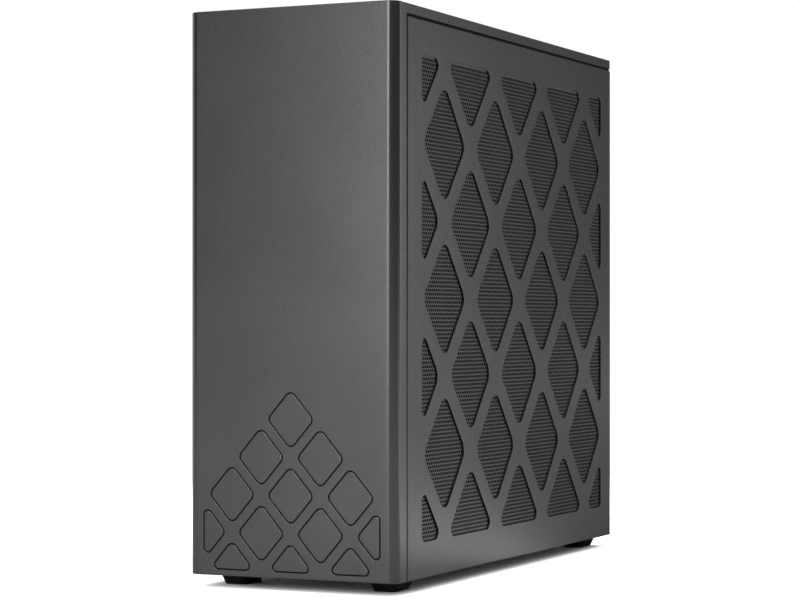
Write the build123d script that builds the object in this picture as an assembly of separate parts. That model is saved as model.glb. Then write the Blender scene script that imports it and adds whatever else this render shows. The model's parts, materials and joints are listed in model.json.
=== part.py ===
from build123d import *
from math import ceil, hypot, radians, sin, tan
import os

os.makedirs("parts", exist_ok=True)

# Upright mini PC in a perforated sheet metal case.
# Millimetres. X runs across the case, Y from the front to the rear, Z up.
# The origin is on the floor, under the middle of the case.

# ---------------------------------------------------------------- case, outside
case_width = 129.0
case_depth = 337.0
body_height = 316.0
foot_height = 7.0

bezel_wall = 2.0
bezel_depth = 13.25
bezel_corner_radius = 4.5
bezel_edge_chamfer = 0.6
boss_radius = 3.5
boss_inset_x = 14.0
boss_inset_z = 22.0

cover_wall = 1.5
cover_skirt_height = 5.6
cover_rear_setback = 2.0

panel_gap = 1.5
panel_wall = 1.0
panel_depth = 6.2
panel_rear_radius = 2.5
panel_edge_radius = 0.8
panel_travel_clearance = 0.3

# ---------------------------------------------------------------- diamond lattice of the side panels
lattice_half_pitch_y = 37.0
lattice_half_pitch_z = 43.5
lattice_bar = 11.4
lattice_corner_radius = 7.5
lattice_cut_radius = 3.0
window_margin_front = 18.65
window_margin_rear = 19.5
window_margin_bottom = 20.0
window_margin_top = 19.1
mesh_thickness = 0.8
mesh_lap = 2.0
smallest_window = 8.0
shortest_side = 2.0
fillet_share = 0.49
corner_chords = 2
stub_sides = 8
ring_sides = 32
button_sides = 24

# ---------------------------------------------------------------- engraved outlines on the front
engraving_half_pitch_x = 18.4
engraving_half_pitch_z = 21.1
engraving_bar = 5.3
engraving_corner_radius = 3.8
engraving_cut_radius = 2.0
engraving_line = 0.6
engraving_depth = 0.5
engraving_rows = 5
engraving_apex_height = 88.0
engraving_margin_side = 9.5
engraving_margin_bottom = 3.4

# ---------------------------------------------------------------- windows of the top cover
top_field_half_width = 48.0
top_field_margin = 2.0

# ---------------------------------------------------------------- chassis
steel = 1.2
pan_recess = 1.5
pan_flange_height = 12.0
plate_flange = 16.0
seat_flange = 8.0
deck_depth_under_cover = 4.3
shelf_flange_height = 8.0
shelf_side_gap = 0.3
rear_recess = 6.0
flange_end_gap = 0.3
cable_hole_width = 40.0
cable_hole_length = 34.0

# ---------------------------------------------------------------- feet
foot_width = 11.8
foot_length = 16.5
foot_flare = 2.3
foot_corner_radius = 2.5
foot_inset_x = 18.0
foot_inset_front = 31.5
foot_inset_rear = 18.0
foot_screw_radius = 1.5
foot_screw_head_radius = 2.8
foot_screw_head_height = 1.8
foot_screw_recess = 3.0
foot_screw_grip = 0.9

# ---------------------------------------------------------------- ball studs of the side panels
stud_inset_front = 8.5
stud_inset_rear = 14.0
stud_inset_bottom = 12.0
stud_gap_to_fans = 0.7
stud_ball_radius = 2.2
stud_neck_radius = 1.4
stud_base_radius = 3.0
stud_base_height = 1.2
stud_tip_radius = 1.0
stud_reach = 9.0
socket_running_clearance = 0.08
socket_wall = 1.6
socket_length = 8.0
socket_head_wall = 1.2
socket_head_height = 0.8

# ---------------------------------------------------------------- fans
fan_front_gap = 2.35
fan_names = ("rear", "middle", "front")
fan_thickness = 15.0
fan_spacing = 1.0
fan_rear_gap = 3.0
fan_corner_radius = 4.0
fan_wall = 2.5
fan_arm = 5.0
fan_arm_thickness = 2.5
fan_motor_radius = 17.0
fan_hub_radius = 16.0
fan_tip_clearance = 0.8
fan_face_clearance = 0.6
fan_blades = 7
fan_blade_thickness = 1.2
fan_blade_root_chord = 14.0
fan_blade_tip_chord = 19.0
fan_blade_root_pitch = 42.0
fan_blade_tip_pitch = 28.0
deck_hole_margin = 1.0

# ---------------------------------------------------------------- power supply
psu_thickness = 63.5
psu_width = 125.0
psu_depth = 100.0
psu_wall = 1.0
psu_fan_size = 80.0
psu_side_gap = 0.6
psu_top_gap = 0.6
psu_opening_margin = 4.0
psu_vent_inset = 10.0
psu_board_gap = 5.0
psu_post_width = 5.0
psu_part_height = 26.0
psu_transformer_width = 28.0
psu_transformer_offset = 8.0
psu_sink_thickness = 4.0
psu_can_radius = 8.0
guard_thickness = 1.0
guard_ring_pitch = 9.0
guard_wire = 1.6
vent_slot_height = 6.0
vent_slot_pitch = 11.0
inlet_width = 20.0
inlet_height = 27.0
inlet_flange = 1.5
inlet_rim = 1.6
inlet_wall = 1.5
inlet_depth = 17.0
inlet_floor = 3.0
inlet_corner_cut = 4.0
inlet_drop = 22.0
pin_width = 4.0
pin_thickness = 2.0
pin_length = 11.0
pin_spacing = 7.0
pin_offset = 2.0
rocker_radius = 8.6
rocker_width = 11.0
rocker_face_offset = 6.6
rocker_face_angle = 10.0
rocker_axis_depth = 5.5
rocker_clearance = 0.3
switch_wall = 2.0
switch_rim = 1.0
switch_gap = 6.0

# ---------------------------------------------------------------- baseboard and slots
board_thickness = 1.6
standoff_height = 2.0
standoff_radius = 2.5
baseboard_front_gap = 50.0
baseboard_rear_gap = 2.0
baseboard_side_gap = 6.0
slot_width = 7.5
slot_height = 11.0
slot_groove = 2.0
slot_wall = 1.5
graphics_slot_length = 89.0
graphics_slot_rear_gap = 44.0
compute_slot_height = 7.0
bay_slot_pitch = 20.32
bay_slots = 3
bay_cover_width = 18.4
bay_cover_wall = 1.0
bay_opening_width = 14.5
bay_opening_lift = 16.0
bay_opening_drop = 18.0
bay_cover_lap = 7.0
bay_first_slot_offset = 14.0
bay_slot_from_cover = 3.0

# ---------------------------------------------------------------- compute card
compute_thickness = 34.4
compute_gap_to_fans = 13.9
compute_length = 256.0
compute_side_gap = 0.8
compute_rear_gap = 1.6
compute_board_lift = 0.6
tongue_shares = (0.15, 0.55)
tongue_share_length = 0.25
tongue_side_gap = 1.0
shroud_wall = 1.2
shroud_length = 192.0
shroud_edge = 2.5
blower_radius = 33.0
blower_inlet_radius = 27.0
blower_height = 13.0
blower_hub_radius = 13.0
blower_plate = 1.2
blower_blades = 17
blower_blade_length = 11.0
blower_blade_thickness = 1.2
blower_blade_angle = 35.0
blower_offset = 50.0
blower_clearance = 0.6
motor_radius = 10.0
processor_width = 45.0
processor_height = 37.5
processor_substrate = 1.6
processor_lid = 2.8
processor_lid_inset = 3.5
cold_plate_thickness = 4.0
cold_plate_length = 84.0
cold_plate_inset = 12.0
fin_thickness = 0.6
fin_pitch = 4.2
fin_gap_to_shroud = 0.8
heat_pipe_width = 8.0
heat_pipe_thickness = 2.2
heat_pipe_pitch = 12.0
heat_pipe_end_gap = 6.0
heat_pipe_count = 3
bracket_wall = 1.0
bracket_side_lap = 5.0
socket_clearance = 0.3
socket_shell = 0.6
usb_a_width = 13.1
usb_a_height = 14.6
usb_a_depth = 17.0
usb_a_opening_width = 11.9
usb_a_opening_height = 4.6
usb_a_tongue = 2.0
usb_c_width = 9.0
usb_c_height = 3.3
usb_c_depth = 9.0
network_width = 16.0
network_height = 13.6
network_depth = 19.0
network_opening_width = 11.8
network_opening_height = 8.0
network_opening_depth = 13.0
hdmi_width = 15.0
hdmi_height = 6.0
hdmi_depth = 12.0
port_end_margin = 5.0
port_projection = 1.0
memory_length = 67.6
memory_height = 30.0
memory_thickness = 3.6
memory_socket = 5.0
memory_gap = 6.0
storage_length = 80.0
storage_width = 22.0
storage_thickness = 3.4
storage_lift = 24.0
storage_pitch = 33.0

# ---------------------------------------------------------------- sockets and button at the top front
io_board_margin = 2.0
io_board_length = 30.0
io_board_drop = 17.2
io_side_gap = 8.3
io_shelf_margin = 3.5
io_names = ("button", "jack", "usb_c", "usb_a_left", "usb_a_right")
button_radius = 5.5
button_travel = 1.2
button_clearance = 0.25
button_collar = 1.5
button_collar_height = 1.0
button_flush = 0.3
switch_size = 6.0
switch_height = 5.0
jack_radius = 3.8
jack_foot_width = 10.0
jack_bore_radius = 1.8
jack_bore_depth = 12.0
thumb_screw_radius = 4.5
thumb_screw_sides = 12
thumb_screw_head = 4.0
thumb_screw_shank = 1.6
thumb_screw_inset = 20.0
thumb_screw_drop = 10.0

# ---------------------------------------------------------------- places worked out from the sizes above
half_width = case_width / 2
front_y = -case_depth / 2
rear_y = case_depth / 2
body_bottom = foot_height
body_top = foot_height + body_height
bezel_rear_y = front_y + bezel_depth
cover_underside = body_top - cover_wall
skirt_bottom = body_top - cover_skirt_height
cover_rear_y = rear_y - cover_rear_setback
panel_front_y = bezel_rear_y + panel_gap
panel_top = skirt_bottom - panel_gap
frame_half = half_width - panel_depth - panel_travel_clearance
inner_half = frame_half - steel
pan_underside = body_bottom + pan_recess
pan_top = pan_underside + steel
front_plate_y = bezel_rear_y + steel
rear_plate_y = rear_y - rear_recess
rear_inner_y = rear_plate_y - steel
deck_underside = cover_underside - deck_depth_under_cover
deck_top = deck_underside + steel
fan_bottom = deck_underside - fan_thickness
front_flange_end = front_plate_y + plate_flange
rear_flange_start = rear_inner_y - plate_flange
psu_bottom = pan_top + steel
shelf_underside = psu_bottom + psu_width + psu_top_gap
shelf_top = shelf_underside + steel
psu_right = frame_half - socket_length - psu_side_gap
psu_x = (psu_right - psu_thickness, psu_right)
psu_y = (rear_inner_y - psu_depth, rear_inner_y)
psu_z = (psu_bottom, psu_bottom + psu_width)
psu_middle_x = sum(psu_x) / 2
baseboard_z = (shelf_top + standoff_height, shelf_top + standoff_height + board_thickness)
baseboard_y = (front_plate_y + baseboard_front_gap, rear_inner_y - baseboard_rear_gap)
compute_left = -inner_half + compute_side_gap
compute_face_x = compute_left + compute_thickness
compute_back_x = compute_face_x + board_thickness
compute_bottom = baseboard_z[1] + compute_slot_height
compute_z = (compute_bottom, fan_bottom - compute_gap_to_fans)
compute_y = (rear_inner_y - compute_rear_gap - compute_length, rear_inner_y - compute_rear_gap)
compute_middle_z = sum(compute_z) / 2
cold_plate_z = (compute_z[0] + cold_plate_inset, compute_z[1] - cold_plate_inset)
bay_first_x = compute_back_x + bay_first_slot_offset
graphics_slot_x = bay_first_x - bay_slot_from_cover
bay_opening_z = (compute_z[0] + bay_opening_lift, compute_z[1] - bay_opening_drop)
io_y = (front_plate_y + io_board_margin, front_plate_y + io_board_margin + io_board_length)
fan_row_y = (io_y[1] + fan_front_gap, rear_inner_y - fan_rear_gap)
fan_pitch = (fan_row_y[1] - fan_row_y[0] + fan_spacing) / len(fan_names)
fan_size = fan_pitch - fan_spacing
fan_rear_centre = fan_row_y[1] - fan_size / 2
fan_centres = {name: fan_rear_centre - index * fan_pitch for index, name in enumerate(fan_names)}
io_middle_y = sum(io_y) / 2
io_board_z = (body_top - io_board_drop - board_thickness, body_top - io_board_drop)
io_half_width = inner_half - io_side_gap
io_pitch = 2 * (io_half_width - io_shelf_margin) / len(io_names)
window_field = (
    (panel_front_y + window_margin_front, rear_y - window_margin_rear),
    (body_bottom + window_margin_bottom, panel_top - window_margin_top),
)
top_field = (
    (-top_field_half_width, top_field_half_width),
    (fan_row_y[0] + top_field_margin, fan_row_y[1] - top_field_margin),
)
stud_y = (panel_front_y + stud_inset_front, rear_y - stud_inset_rear)
socket_radius = stud_ball_radius + socket_running_clearance + socket_wall
stud_z = (body_bottom + stud_inset_bottom, fan_bottom - stud_gap_to_fans - socket_radius)
upright = (0, 0, 1)
rearward = (0, 1, 0)
rightward = (1, 0, 0)


# ---------------------------------------------------------------- plain shapes
def block(x, y, z):
    """Block between the (low, high) pairs along X, Y and Z."""
    size = [high - low for low, high in (x, y, z)]
    return Pos(x[0], y[0], z[0]) * Box(*size, align=(Align.MIN, Align.MIN, Align.MIN))


def rod(start, direction, radius, length):
    """Round bar of the given length, from start along direction."""
    across = Plane(origin=start, z_dir=direction)
    return across * Cylinder(radius, length, align=(Align.CENTER, Align.CENTER, Align.MIN))


def stub(start, direction, radius, length, sides=stub_sides):
    """Bar with flat sides, for rounds that repeat; radius is to the middle of a flat."""
    across = Plane(origin=start, z_dir=direction)
    return across * extrude(RegularPolygon(radius, sides, major_radius=False), amount=length)


def span(middle, width):
    """The (low, high) pair of a width about its middle."""
    return (middle - width / 2, middle + width / 2)


def grown(pair, amount):
    """A (low, high) pair moved outwards by amount at both ends."""
    return (pair[0] - amount, pair[1] + amount)


def both_sides(shape):
    """A right-hand shape together with its mirror image on the left."""
    return [shape, mirror(shape, about=Plane.YZ)]


def faceted(lower, upper):
    """Solid between two outlines of as many corners, with flat triangles along its sides."""
    faces = [Face(Wire.make_polygon(ring, close=True)) for ring in (lower, upper)]
    for index in range(len(lower)):
        first, second = lower[index - 1], lower[index]
        third, fourth = upper[index], upper[index - 1]
        faces.append(Face(Wire.make_polygon([first, second, third], close=True)))
        faces.append(Face(Wire.make_polygon([first, third, fourth], close=True)))
    return Solid(Shell(faces))


def write(node, shapes):
    """Write the solids of one node to its STEP file."""
    solids = [solid for shape in shapes for solid in shape.solids()]
    export_step(Compound(label=node, children=solids), f"parts/{node}.step")


# ---------------------------------------------------------------- diamond cells
def clipped(corners, axis, limit, side):
    """The part of an outline above (side 1) or below (side -1) a limit on one coordinate."""
    kept = []
    for start, end in zip(corners, corners[1:] + corners[:1]):
        before = side * (start[axis] - limit)
        after = side * (end[axis] - limit)
        if before >= 0:
            kept.append(start)
        if before * after < 0:
            share = before / (before - after)
            kept.append(tuple(a + share * (b - a) for a, b in zip(start, end)))
    return kept


def rounded_face(corners, radii):
    """Flat face from corners in counter-clockwise order.

    Each corner is rounded, as far as its two sides allow, by a few chords of the arc that
    touches both sides.
    """
    points = []
    for index, corner in enumerate(corners):
        here = Vector(*corner)
        back = Vector(*corners[index - 1]) - here
        ahead = Vector(*corners[(index + 1) % len(corners)]) - here
        angle = back.get_angle(ahead)
        half_angle = radians(angle) / 2
        reach = min(radii[index] / tan(half_angle), fillet_share * min(back.length, ahead.length))
        radius = reach * tan(half_angle)
        inward = (back.normalized() + ahead.normalized()).normalized()
        centre = here + inward * (radius / sin(half_angle))
        spoke = here + back.normalized() * reach - centre
        for chord in range(corner_chords + 1):
            points.append(centre + spoke.rotate(Axis.Z, (180 - angle) * chord / corner_chords))
    return Face(Wire.make_polygon(points, close=True))


def rounded_rectangle(width, length, radius):
    """Rectangle about the origin with rounded corners."""
    x, y = width / 2, length / 2
    return rounded_face([(-x, -y), (x, -y), (x, y), (-x, y)], [radius] * 4)


def diamond_cell(centre, half_pitch, bar, field, corner_radius, cut_radius):
    """Rounded diamond between the bars of a lattice, cut off at the edge of its field.

    Returns a list with the face, or an empty list where too little of the diamond is left.
    """
    across, up = half_pitch
    shrink = 1 - bar / 2 * hypot(across, up) / (across * up)
    u, v = centre
    outline = [
        (u - across * shrink, v),
        (u, v - up * shrink),
        (u + across * shrink, v),
        (u, v + up * shrink),
    ]
    for axis, (low, high) in enumerate(field):
        outline = clipped(outline, axis, low, 1)
        outline = clipped(outline, axis, high, -1)
    corners = [
        corner
        for corner, previous in zip(outline, outline[-1:] + outline[:-1])
        if hypot(corner[0] - previous[0], corner[1] - previous[1]) > shortest_side
    ]
    if len(corners) < 3:
        return []
    size = [max(c[axis] for c in corners) - min(c[axis] for c in corners) for axis in (0, 1)]
    if min(size) < smallest_window:
        return []
    radii = [
        cut_radius if any(c[axis] in field[axis] for axis in (0, 1)) else corner_radius
        for c in corners
    ]
    return [rounded_face(corners, radii)]


def lattice(field, half_pitch, bar, corner_radius, cut_radius):
    """All cells of a diamond lattice that is centred in its field."""
    middle = [sum(pair) / 2 for pair in field]
    reach = [ceil((high - low) / 2 / pitch) for (low, high), pitch in zip(field, half_pitch)]
    cells = []
    for row in range(-reach[1], reach[1] + 1):
        for column in range(-reach[0], reach[0] + 1):
            if (row + column) % 2:
                centre = (middle[0] + column * half_pitch[0], middle[1] + row * half_pitch[1])
                cells += diamond_cell(centre, half_pitch, bar, field, corner_radius, cut_radius)
    return cells


# ---------------------------------------------------------------- outer covers
def engraving():
    """Outlines of a pyramid of diamonds, cut into the lower part of the front."""
    half_pitch = (engraving_half_pitch_x, engraving_half_pitch_z)
    field = (
        (engraving_margin_side - half_width, half_width - engraving_margin_side),
        (body_bottom + engraving_margin_bottom, body_top),
    )
    inner_field = [grown(pair, -engraving_line) for pair in field]
    lines = []
    for row in range(engraving_rows):
        height = body_bottom + engraving_apex_height - row * engraving_half_pitch_z
        for column in range(-row, row + 1, 2):
            centre = (column * engraving_half_pitch_x, height)
            outer = diamond_cell(
                centre, half_pitch, engraving_bar, field, engraving_corner_radius, engraving_cut_radius
            )
            inner = diamond_cell(
                centre,
                half_pitch,
                engraving_bar + 2 * engraving_line,
                inner_field,
                engraving_corner_radius - engraving_line,
                engraving_cut_radius - engraving_line,
            )
            lines += zip(outer, inner)
    front = Plane(origin=(0, front_y, 0), x_dir=rightward, z_dir=(0, -1, 0))
    return [
        extrude(front * outer, amount=-engraving_depth) - extrude(front * inner, amount=-engraving_depth)
        for outer, inner in lines
    ]


def front_bezel():
    """Front cover: a tray with rounded upright corners, open at the rear."""
    outer = block((-half_width, half_width), (front_y, bezel_rear_y), (body_bottom, body_top))
    outer = fillet(outer.edges().filter_by(Axis.Z).sort_by(Axis.Y)[:2], bezel_corner_radius)
    rims = outer.faces().filter_by(Axis.Z).edges()
    rims = [edge for edge in rims if edge.center().Y < bezel_rear_y - bezel_edge_chamfer]
    outer = chamfer(rims, bezel_edge_chamfer)
    inner = block(
        (bezel_wall - half_width, half_width - bezel_wall),
        (front_y + bezel_wall, bezel_rear_y),
        (body_bottom + bezel_wall, body_top - bezel_wall),
    )
    inner_radius = bezel_corner_radius - bezel_wall
    inner = fillet(inner.edges().filter_by(Axis.Z).sort_by(Axis.Y)[:2], inner_radius)
    boss = [
        stub((x, front_y + bezel_wall, z), rearward, boss_radius, bezel_depth - bezel_wall)
        for x in (boss_inset_x - half_width, half_width - boss_inset_x)
        for z in (body_bottom + boss_inset_z, body_top - boss_inset_z)
    ]
    return (outer - inner) + boss - engraving()


def io_places():
    """Places along X of the button, the jack and the sockets, from left to right."""
    first = (1 - len(io_names)) / 2
    return {name: (first + index) * io_pitch for index, name in enumerate(io_names)}


def top_cover():
    """Top cover: a sheet with a skirt, diamond windows over the fans and holes for the sockets."""
    outer = block((-half_width, half_width), (bezel_rear_y, cover_rear_y), (skirt_bottom, body_top))
    edges = outer.faces().sort_by(Axis.Z)[-1].edges()
    edges = [edge for edge in edges if edge.center().Y > bezel_rear_y + bezel_edge_chamfer]
    outer = chamfer(edges, bezel_edge_chamfer)
    inner = block(
        (cover_wall - half_width, half_width - cover_wall),
        (bezel_rear_y, cover_rear_y - cover_wall),
        (skirt_bottom, cover_underside),
    )
    windows = lattice(
        top_field,
        (top_field_half_width, fan_pitch / 2),
        lattice_bar,
        lattice_corner_radius,
        lattice_cut_radius,
    )
    holes = [extrude(Pos(0, 0, cover_underside) * face, amount=cover_wall) for face in windows]
    x = io_places()
    sheet = (cover_underside, body_top)
    clearance = socket_clearance
    for name in ("usb_a_left", "usb_a_right"):
        size = (usb_a_width + 2 * clearance, usb_a_height / 2 + 2 * clearance)
        holes.append(block(span(x[name], size[0]), span(io_middle_y, size[1]), sheet))
    size = (usb_c_width + 2 * clearance, usb_c_height + 2 * clearance)
    holes.append(block(span(x["usb_c"], size[0]), span(io_middle_y, size[1]), sheet))
    for name, radius in (("button", button_radius + button_clearance), ("jack", jack_radius + clearance)):
        start = (x[name], io_middle_y, cover_underside)
        holes.append(stub(start, upright, radius, cover_wall, button_sides))
    return outer - inner - holes


def top_mesh():
    """Perforated sheet under the windows of the top cover."""
    x, y = (grown(pair, mesh_lap) for pair in top_field)
    return block(x, y, (cover_underside - mesh_thickness, cover_underside))


def side_panel():
    """Right side panel: a folded sheet with a diamond lattice of windows."""
    x = (half_width - panel_depth, half_width)
    outer = block(x, (panel_front_y, rear_y), (body_bottom, panel_top))
    rim = outer.faces().sort_by(Axis.X)[-1].edges().sort_by(Axis.Y)
    outer = fillet(rim[-1], panel_rear_radius)
    rim = outer.edges().filter_by(lambda edge: edge.center().X > half_width - panel_edge_radius)
    rim = rim.filter_by(lambda edge: edge.center().Y < rear_y - 2 * panel_rear_radius)
    outer = chamfer(rim, panel_edge_radius / 2)
    inner = block(
        (x[0], half_width - panel_wall),
        (panel_front_y + panel_wall, rear_y - panel_wall),
        (body_bottom + panel_wall, panel_top - panel_wall),
    )
    rim = inner.faces().sort_by(Axis.X)[-1].edges().sort_by(Axis.Y)
    inner = fillet(rim[-1], panel_rear_radius - panel_wall)
    windows = lattice(
        window_field,
        (lattice_half_pitch_y, lattice_half_pitch_z),
        lattice_bar,
        lattice_corner_radius,
        lattice_cut_radius,
    )
    skin = Plane(origin=(half_width - panel_wall, 0, 0), x_dir=rearward, z_dir=rightward)
    return outer - inner - [extrude(skin * face, amount=panel_wall) for face in windows]


def side_mesh():
    """Perforated sheet behind the windows of the right side panel."""
    y, z = (grown(pair, mesh_lap) for pair in window_field)
    inside = half_width - panel_wall
    return block((inside - mesh_thickness, inside), y, z)


def panel_studs():
    """Ball studs on the inside of the right side panel."""
    inside = half_width - panel_wall
    ball_x = inside - stud_reach
    studs = []
    for y in stud_y:
        for z in stud_z:
            base = stub((inside - stud_base_height, y, z), rightward, stud_base_radius, stud_base_height)
            neck = stub((ball_x, y, z), rightward, stud_neck_radius, stud_reach)
            rings = [
                Plane(origin=(x, y, z), z_dir=rightward)
                * RegularPolygon(radius, stub_sides, major_radius=False)
                for x, radius in (
                    (ball_x - stud_ball_radius, stud_tip_radius),
                    (ball_x, stud_ball_radius),
                    (ball_x + stud_ball_radius, stud_neck_radius),
                )
            ]
            studs.append(base + neck + loft(rings, ruled=True))
    return studs


def clip_sockets():
    """Plastic sockets in the frame's right flanges, one around each ball stud."""
    bore = stud_ball_radius + socket_running_clearance
    sockets = []
    for y in stud_y:
        for z in stud_z:
            start = (frame_half - socket_length, y, z)
            body = stub(start, rightward, socket_radius, socket_length)
            rim_radius = socket_radius + socket_head_wall
            rim = stub((frame_half, y, z), rightward, rim_radius, socket_head_height)
            hole = stub(start, rightward, bore, socket_length + socket_head_height)
            sockets.append(body + rim - hole)
    return sockets


def socket_holes():
    """Holes in the frame's flanges for the clip sockets, on both sides."""
    holes = [stub((inner_half, y, z), rightward, socket_radius, steel) for y in stud_y for z in stud_z]
    return [side for hole in holes for side in both_sides(hole)]


# ---------------------------------------------------------------- feet
def foot_places():
    """Centres of the feet in plan."""
    return [
        (x, y)
        for x in (foot_inset_x - half_width, half_width - foot_inset_x)
        for y in (front_y + foot_inset_front, rear_y - foot_inset_rear)
    ]


def feet():
    """Rubber feet that flare towards the case, each with a recess for its screw."""
    bottom = rounded_rectangle(foot_width, foot_length, foot_corner_radius)
    top_size = (foot_width + 2 * foot_flare, foot_length + 2 * foot_flare)
    top = rounded_rectangle(*top_size, foot_corner_radius + foot_flare)
    solids = []
    for x, y in foot_places():
        foot = loft([Pos(x, y, 0) * bottom, Pos(x, y, pan_underside) * top], ruled=True)
        recess = stub((x, y, 0), upright, foot_screw_head_radius + socket_clearance, foot_screw_recess)
        shank = stub((x, y, 0), upright, foot_screw_radius + socket_clearance, pan_underside)
        solids.append(foot - recess - shank)
    return solids


def foot_screws():
    """Screws that hold the feet to the bottom pan."""
    screws = []
    head_bottom = foot_screw_recess - foot_screw_head_height
    for x, y in foot_places():
        head = stub((x, y, head_bottom), upright, foot_screw_head_radius, foot_screw_head_height)
        shank_length = pan_top + foot_screw_grip - foot_screw_recess
        shank = stub((x, y, foot_screw_recess), upright, foot_screw_radius, shank_length)
        screws.append(head + shank)
    return screws


# ---------------------------------------------------------------- chassis
def bottom_pan():
    """Bottom sheet with upturned side flanges between the front and rear uprights."""
    base = block((-frame_half, frame_half), (bezel_rear_y, rear_plate_y), (pan_underside, pan_top))
    y = (front_flange_end + flange_end_gap, rear_flange_start - flange_end_gap)
    flange = block((inner_half, frame_half), y, (pan_underside, pan_top + pan_flange_height))
    holes = [
        stub((x, y, pan_underside), upright, foot_screw_radius + socket_clearance, steel)
        for x, y in foot_places()
    ]
    return base + both_sides(flange) - holes


def upright_plate(plate_y, flange_y, seat_y):
    """A plate across the case with flanges along its sides and a foot on the bottom pan."""
    z = (pan_top, deck_underside)
    plate = block((-frame_half, frame_half), plate_y, z)
    flange = block((inner_half, frame_half), flange_y, z)
    foot = block((-inner_half, inner_half), seat_y, (pan_top, pan_top + steel))
    return plate + both_sides(flange) + foot - socket_holes()


def front_plate():
    """Front upright of the chassis, with the shelf that carries the I/O board."""
    plate_y = (bezel_rear_y, front_plate_y)
    seat_y = (front_plate_y, front_plate_y + seat_flange)
    frame = upright_plate(plate_y, (bezel_rear_y, front_flange_end), seat_y)
    shelf_z = (io_board_z[0] - steel, io_board_z[0])
    shelf = block((-io_half_width, io_half_width), (bezel_rear_y, io_y[1]), shelf_z)
    low = (pan_top + plate_flange, shelf_underside - plate_flange)
    high = (shelf_top + plate_flange, io_board_z[0] - plate_flange)
    openings = [
        block((plate_flange - frame_half, frame_half - plate_flange), plate_y, z) for z in (low, high)
    ]
    return frame + shelf - openings


def slot_field(x, z):
    """A column of long hexagonal air slots that cut through the rear of the case."""
    height, pitch = vent_slot_height, vent_slot_pitch
    length = x[1] - x[0]
    count = int((z[1] - z[0]) // pitch)
    start = sum(z) / 2 - (count - 1) * pitch / 2
    point = height / 2
    outline = [
        (-length / 2, 0),
        (point - length / 2, -point),
        (length / 2 - point, -point),
        (length / 2, 0),
        (length / 2 - point, point),
        (point - length / 2, point),
    ]
    face = Face(Wire.make_polygon([Vector(*corner) for corner in outline], close=True))
    across = [
        Plane(origin=(sum(x) / 2, rear_y, start + index * pitch), x_dir=rightward, z_dir=(0, -1, 0))
        for index in range(count)
    ]
    return [extrude(plane * face, amount=rear_recess + steel) for plane in across]


def bay_places():
    """Places along X of the expansion slots."""
    return [bay_first_x + index * bay_slot_pitch for index in range(bay_slots)]


def rear_panel():
    """Rear upright with openings for the power supply, the compute card, the slots and air."""
    plate_y = (rear_inner_y, rear_plate_y)
    flange_y = (rear_flange_start, rear_plate_y)
    frame = upright_plate(plate_y, flange_y, (rear_inner_y - seat_flange, rear_inner_y))
    margin = -psu_opening_margin
    openings = [
        block(grown(psu_x, margin), plate_y, grown(psu_z, margin)),
        block(
            (compute_left + bracket_side_lap, compute_back_x), plate_y, grown(compute_z, margin)
        ),
    ]
    openings += [block(span(x, bay_opening_width), plate_y, bay_opening_z) for x in bay_places()]
    vent_x = (-inner_half + plate_flange / 2, psu_x[0] - psu_opening_margin)
    vent_z = (pan_top + plate_flange, shelf_underside - plate_flange / 2)
    openings += slot_field(vent_x, vent_z)
    holes = [stub((x, rear_inner_y, z), rearward, thumb_screw_shank, steel) for x, z in thumb_places()]
    return frame - openings - holes


def fan_deck():
    """Top sheet of the chassis: the fans hang from it and the top cover rests on its lips."""
    z = (deck_underside, deck_top)
    sheet = block((-frame_half, frame_half), (bezel_rear_y, rear_plate_y), z)
    lip = block((inner_half, frame_half), (bezel_rear_y, rear_plate_y), (deck_underside, cover_underside))
    io_hole = block((-io_half_width, io_half_width), (front_plate_y, io_y[1]), z)
    radius = fan_size / 2 - deck_hole_margin
    holes = [stub((0, y, deck_underside), upright, radius, steel, ring_sides) for y in fan_centres.values()]
    return sheet + both_sides(lip) - io_hole - holes


def shelf():
    """Shelf between the front and rear uprights, over the power supply."""
    half = inner_half - shelf_side_gap
    sheet = block((-half, half), (front_plate_y, rear_inner_y), (shelf_underside, shelf_top))
    y = (front_plate_y, psu_y[0] - plate_flange)
    flange = block((half - steel, half), y, (shelf_underside - shelf_flange_height, shelf_top))
    hole_y = (front_plate_y + seat_flange, front_plate_y + seat_flange + cable_hole_length)
    hole = block(span(0, cable_hole_width), hole_y, (shelf_underside, shelf_top))
    return sheet + both_sides(flange) - hole


def thumb_places():
    """Places in X and Z of the thumb screws at the top of the rear panel."""
    height = deck_underside - thumb_screw_drop
    return [(x, height) for x in (thumb_screw_inset - frame_half, frame_half - thumb_screw_inset)]


def thumb_screws():
    """Screws with many-sided knobs in the rear panel."""
    grip = 2 * steel
    screws = []
    for x, z in thumb_places():
        knob = RegularPolygon(thumb_screw_radius, thumb_screw_sides)
        seat = Plane(origin=(x, rear_plate_y, z), z_dir=rearward)
        head = extrude(seat * knob, amount=thumb_screw_head)
        shank = stub((x, rear_plate_y - grip, z), rearward, thumb_screw_shank, grip)
        screws.append(head + shank)
    return screws


# ---------------------------------------------------------------- fans
def fan_frame(size):
    """Square fan frame standing on Z = 0, with its motor plate on four arms at the bottom."""
    bore = RegularPolygon(size / 2 - fan_wall, ring_sides, major_radius=False)
    ring = rounded_rectangle(size, size, fan_corner_radius) - bore
    arms = Rectangle(size - fan_wall, fan_arm) + Rectangle(fan_arm, size - fan_wall)
    motor = RegularPolygon(fan_motor_radius, 2 * stub_sides)
    return extrude(ring, amount=fan_thickness) + extrude(arms + motor, amount=fan_arm_thickness)


def fan_blade_section(radius, chord, pitch):
    """Corners of a thin blade's section, in the plane square to the radius."""
    x, z = chord / 2, fan_blade_thickness / 2
    corners = [Vector(-x, 0, -z), Vector(x, 0, -z), Vector(x, 0, z), Vector(-x, 0, z)]
    return [Vector(0, radius, 0) + corner.rotate(Axis.Y, -pitch) for corner in corners]


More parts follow.
